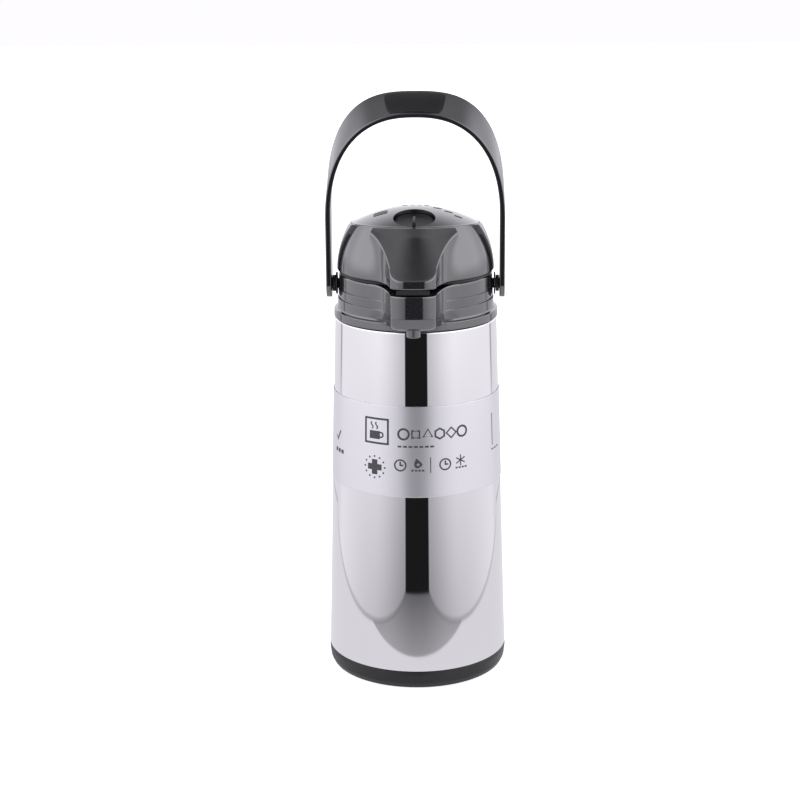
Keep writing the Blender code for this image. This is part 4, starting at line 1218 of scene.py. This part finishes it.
@dataclass
class Handle:
    """A strap that turns its face forwards over the arch, on shouldered pins."""

    inner_x: float = 65.8
    outer_x: float = 70.0
    end_r: float = 11.0
    arch_z: float = 365.0
    inner_rise: float = 80.3
    outer_rise: float = 99.5
    inner_power: float = 2.4
    outer_power: float = 2.85
    strap: float = 4.2
    crown: float = 3.2

    def arch(self, share: Array, half_width: float, rise: float,
             power: float) -> tuple[Array, Array]:
        """A superellipse: |cos| and |sin| of the turn raised to 2 over the power.

        Args:
            share: place along the arch, from the right arm (0) to the left one (1).
            half_width: distance of both ends from the middle.
            rise: height of the crown above the arms.
            power: how square the arch is.

        Returns:
            Points (x, 0, z), and the outward normal at each.
        """
        c, s = np.cos(math.pi * share), np.sin(math.pi * share)
        across, up = np.abs(c) ** (2 / power), np.abs(s) ** (2 / power)
        x = np.sign(c) * across * half_width
        points = np.stack((x, 0 * c, self.arch_z + up * rise), axis=-1)
        lean = np.sign(c) * across ** (power - 1) / half_width
        normal = np.stack((lean, 0 * c, up ** (power - 1) / rise), axis=-1)
        return points, normal / np.linalg.norm(normal, axis=1, keepdims=True)

    def corners(self, share: Array) -> Array:
        """Four corners of the strap at each share of the arch, low front edge first."""
        turn = np.sin(math.pi * share)[:, None] ** 1.5
        inner, inner_skin = self.arch(share, self.inner_x, self.inner_rise, self.inner_power)
        outer, outer_skin = self.arch(share, self.outer_x, self.outer_rise, self.outer_power)
        half = (self.end_r + (9.5 - self.end_r) * turn) * np.array((0.0, 1.0, 0.0))
        thickness = self.strap + (self.crown - self.strap) * turn
        front_in, back_out = inner - half, outer + half
        return np.stack((front_in, front_in + thickness * inner_skin, back_out,
                         back_out - thickness * outer_skin), axis=1)

    def arm(self, side: int, z: Array) -> Array:
        """Four corners of an arm at each height, rounded off below the pivot."""
        below = np.maximum(PIVOT_Z - z, 0.0)
        half = np.sqrt(np.maximum(self.end_r ** 2 - below ** 2, 0.05))
        inner, outer = side * self.inner_x + 0 * z, side * self.outer_x + 0 * z
        lists = ((inner, -half), (outer, -half), (outer, half), (inner, half))
        return np.stack([np.stack((x, y, z), axis=-1) for x, y in lists], axis=1)

    def rounded(self, corners: Array, radius: float = 0.9, steps: int = 6) -> Array:
        """Round every corner of each section with a quadratic curve between its two sides."""
        out = []
        t = np.linspace(0.0, 1.0, steps)[None, :, None]
        for i in range(4):
            here = corners[:, i]
            sides = []
            for other in (corners[:, i - 1], corners[:, (i + 1) % 4]):
                run = np.linalg.norm(other - here, axis=1, keepdims=True)
                sides.append(here + (other - here) * np.minimum(radius / run, 0.45))
            first, last = sides[0][:, None], sides[1][:, None]
            out.append((1 - t) ** 2 * first + 2 * t * (1 - t) * here[:, None] + t ** 2 * last)
        return np.concatenate(out, axis=1)

    def build(self) -> None:
        """Make the strap with its pivot holes, the grip, and the pins and bushes."""
        foot = PIVOT_Z - self.end_r * np.cos(np.linspace(0.05, math.pi / 2, 14))
        shaft = np.linspace(PIVOT_Z, self.arch_z, 16)[1:-1]
        up = np.concatenate((foot, shaft))
        share = 0.5 - 0.5 * np.cos(math.pi * np.linspace(0.0, 1.0, 120))
        sections = np.concatenate((self.arm(1, up), self.corners(share), self.arm(-1, up[::-1])))
        mesh = outward(Skin(self.rounded(sections), Ends.FLAT).mesh())
        mesh = carve(mesh, pivot_bores(4.3, 60.0, 76.0))
        stand_in("handle", outward(mesh), GLOSS_BLACK)
        self.grip()
        for side, word in ((-1, "left"), (1, "right")):
            self.pivot(side, word)

    def grip(self) -> None:
        """A raised pad with round ends that follows the strap's face."""
        shares = np.linspace(0.425, 0.575, 90)
        corners = self.corners(shares)
        front, back = corners[:, 1], corners[:, 2]
        across = back - front
        along = np.gradient((front + back) / 2, axis=0)
        normal = np.cross(along, across)
        normal /= np.linalg.norm(normal, axis=1, keepdims=True)
        normal *= np.where(normal[:, 2:] < 0, -1.0, 1.0)
        run = np.abs(np.linspace(-1.0, 1.0, 90))
        ends = np.clip((run - 0.86) / 0.14, 0.0, 1.0)
        half = 0.40 * np.sqrt(1.0 - ends ** 2)[:, None] + 0.004
        rows = []
        for place, lift in ((-1.0, -0.5), (-1.0, 0.35), (-0.93, 0.75), (0.0, 0.95), (0.93, 0.75),
                            (1.0, 0.35), (1.0, -0.5)):
            rows.append(front + across * (0.5 + half * place) + normal * lift)
        mesh = outward(Skin(np.stack(rows, axis=1), Ends.FLAT).mesh())
        stand_in("handle_grip", mesh, SATIN_BLACK)

    def pivot(self, side: int, word: str) -> None:
        """A shouldered pin along X, with a stepped bush round it."""
        turn = Matrix.Rotation(side * math.pi / 2, 4, "Y")
        place = Matrix.Translation((0, 0, PIVOT_Z * MM)) @ turn
        pin = turned([
            (0.001, 70.0, 0.0), (4.0, 70.0, 0.5), (4.0, 65.5, 0.1), (6.5, 65.5, 0.5),
            (6.5, 63.0, 0.4), (4.0, 63.0, 0.1), (4.0, 55.6, 0.1), (5.6, 55.2, 0.3),
            (4.8, 52.6, 0.5), (0.001, 52.6, 0.0)],
            closed=False, segments=64)
        bush = turned([
            (4.4, 62.7, 0.2), (8.6, 62.7, 0.4), (9.0, 61.5, 0.3), (4.4, 61.5, 0.2)], segments=72)
        stand_in(f"handle_pin_{word}", moved(pin, place), SATIN_BLACK)
        stand_in(f"handle_bush_{word}", moved(bush, place), SATIN_BLACK)


# ------------------------------------------------------------------ spout, seals and inner pieces

@dataclass
class Fittings:
    """The nozzle, the seal in the lid's gap, and the inner CAD pieces with their finishes."""

    def build(self) -> None:
        """Make the nozzle and the seal, and dress the CAD nodes that stay."""
        nozzle = cylinder(5.2, (0, SPOUT_Y, 289.4), (0, SPOUT_Y, 317.4), 0.4, 96)
        nozzle = carve(nozzle, [
            cylinder(4.2, (0, SPOUT_Y, 280.0), (0, SPOUT_Y, 315.4)),
            cylinder(4.5, (0, SPOUT_Y, 312.6), (0, -60.0, 312.6))])
        stand_in("spout_nozzle", outward(nozzle), SMOKE)
        seal = turned([
            (58.2, 327.1, 0.2), (59.8, 327.1, 0.3), (60.2, 326.0, 0.5), (59.8, 324.8, 0.3),
            (58.2, 324.8, 0.2)])
        stand_in("lid_seal", seal, RUBBER)
        self.squashed()
        self.dress()

    def squashed(self) -> None:
        """Stand-ins for the bellows and both springs, made from copies of their CAD meshes."""
        for node, finish, joint, fixed_z, keep in (
                ("bellows", RUBBER, "button_press", 330.6, 0.41),
                ("bellows_spring", WIRE, "button_press", 330.6, 0.40),
                ("latch_spring", WIRE, "latch_press", 334.7, 0.8)):
            piece = stand_in(node, frame["nodes"][node].data.copy(), finish, "soft")
            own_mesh(piece)

    def dress(self) -> None:
        """Give every CAD node the finish of its slot."""
        finishes = {
            "gloss_black": GLOSS_BLACK, "satin_black": SATIN_BLACK, "grey_plastic": GREY_PLASTIC,
            "white_plastic": WHITE_PLASTIC, "polished_steel": STEEL, "wire_steel": WIRE,
            "label_paper": LABEL, "flask_glass": GLASS, "rubber": RUBBER, "silicone": SILICONE}
        for part in frame["record"]["subparts"]:
            finishes[part["material_slot"]].apply(frame["nodes"][part["node"]])
            LOG.info("%s keeps its CAD shape in %s", part["node"], part["material_slot"])


def main() -> None:
    """Build every sub-assembly in order."""
    logging.basicConfig(level=logging.INFO, format="%(name)s: %(message)s")
    Studio().build()
    for assembly in (Body(), Collar(), Lid(), Button(), Handle(), Fittings()):
        assembly.build()
        LOG.info("%s is done", type(assembly).__name__)


if __name__ == "__main__":
    main()
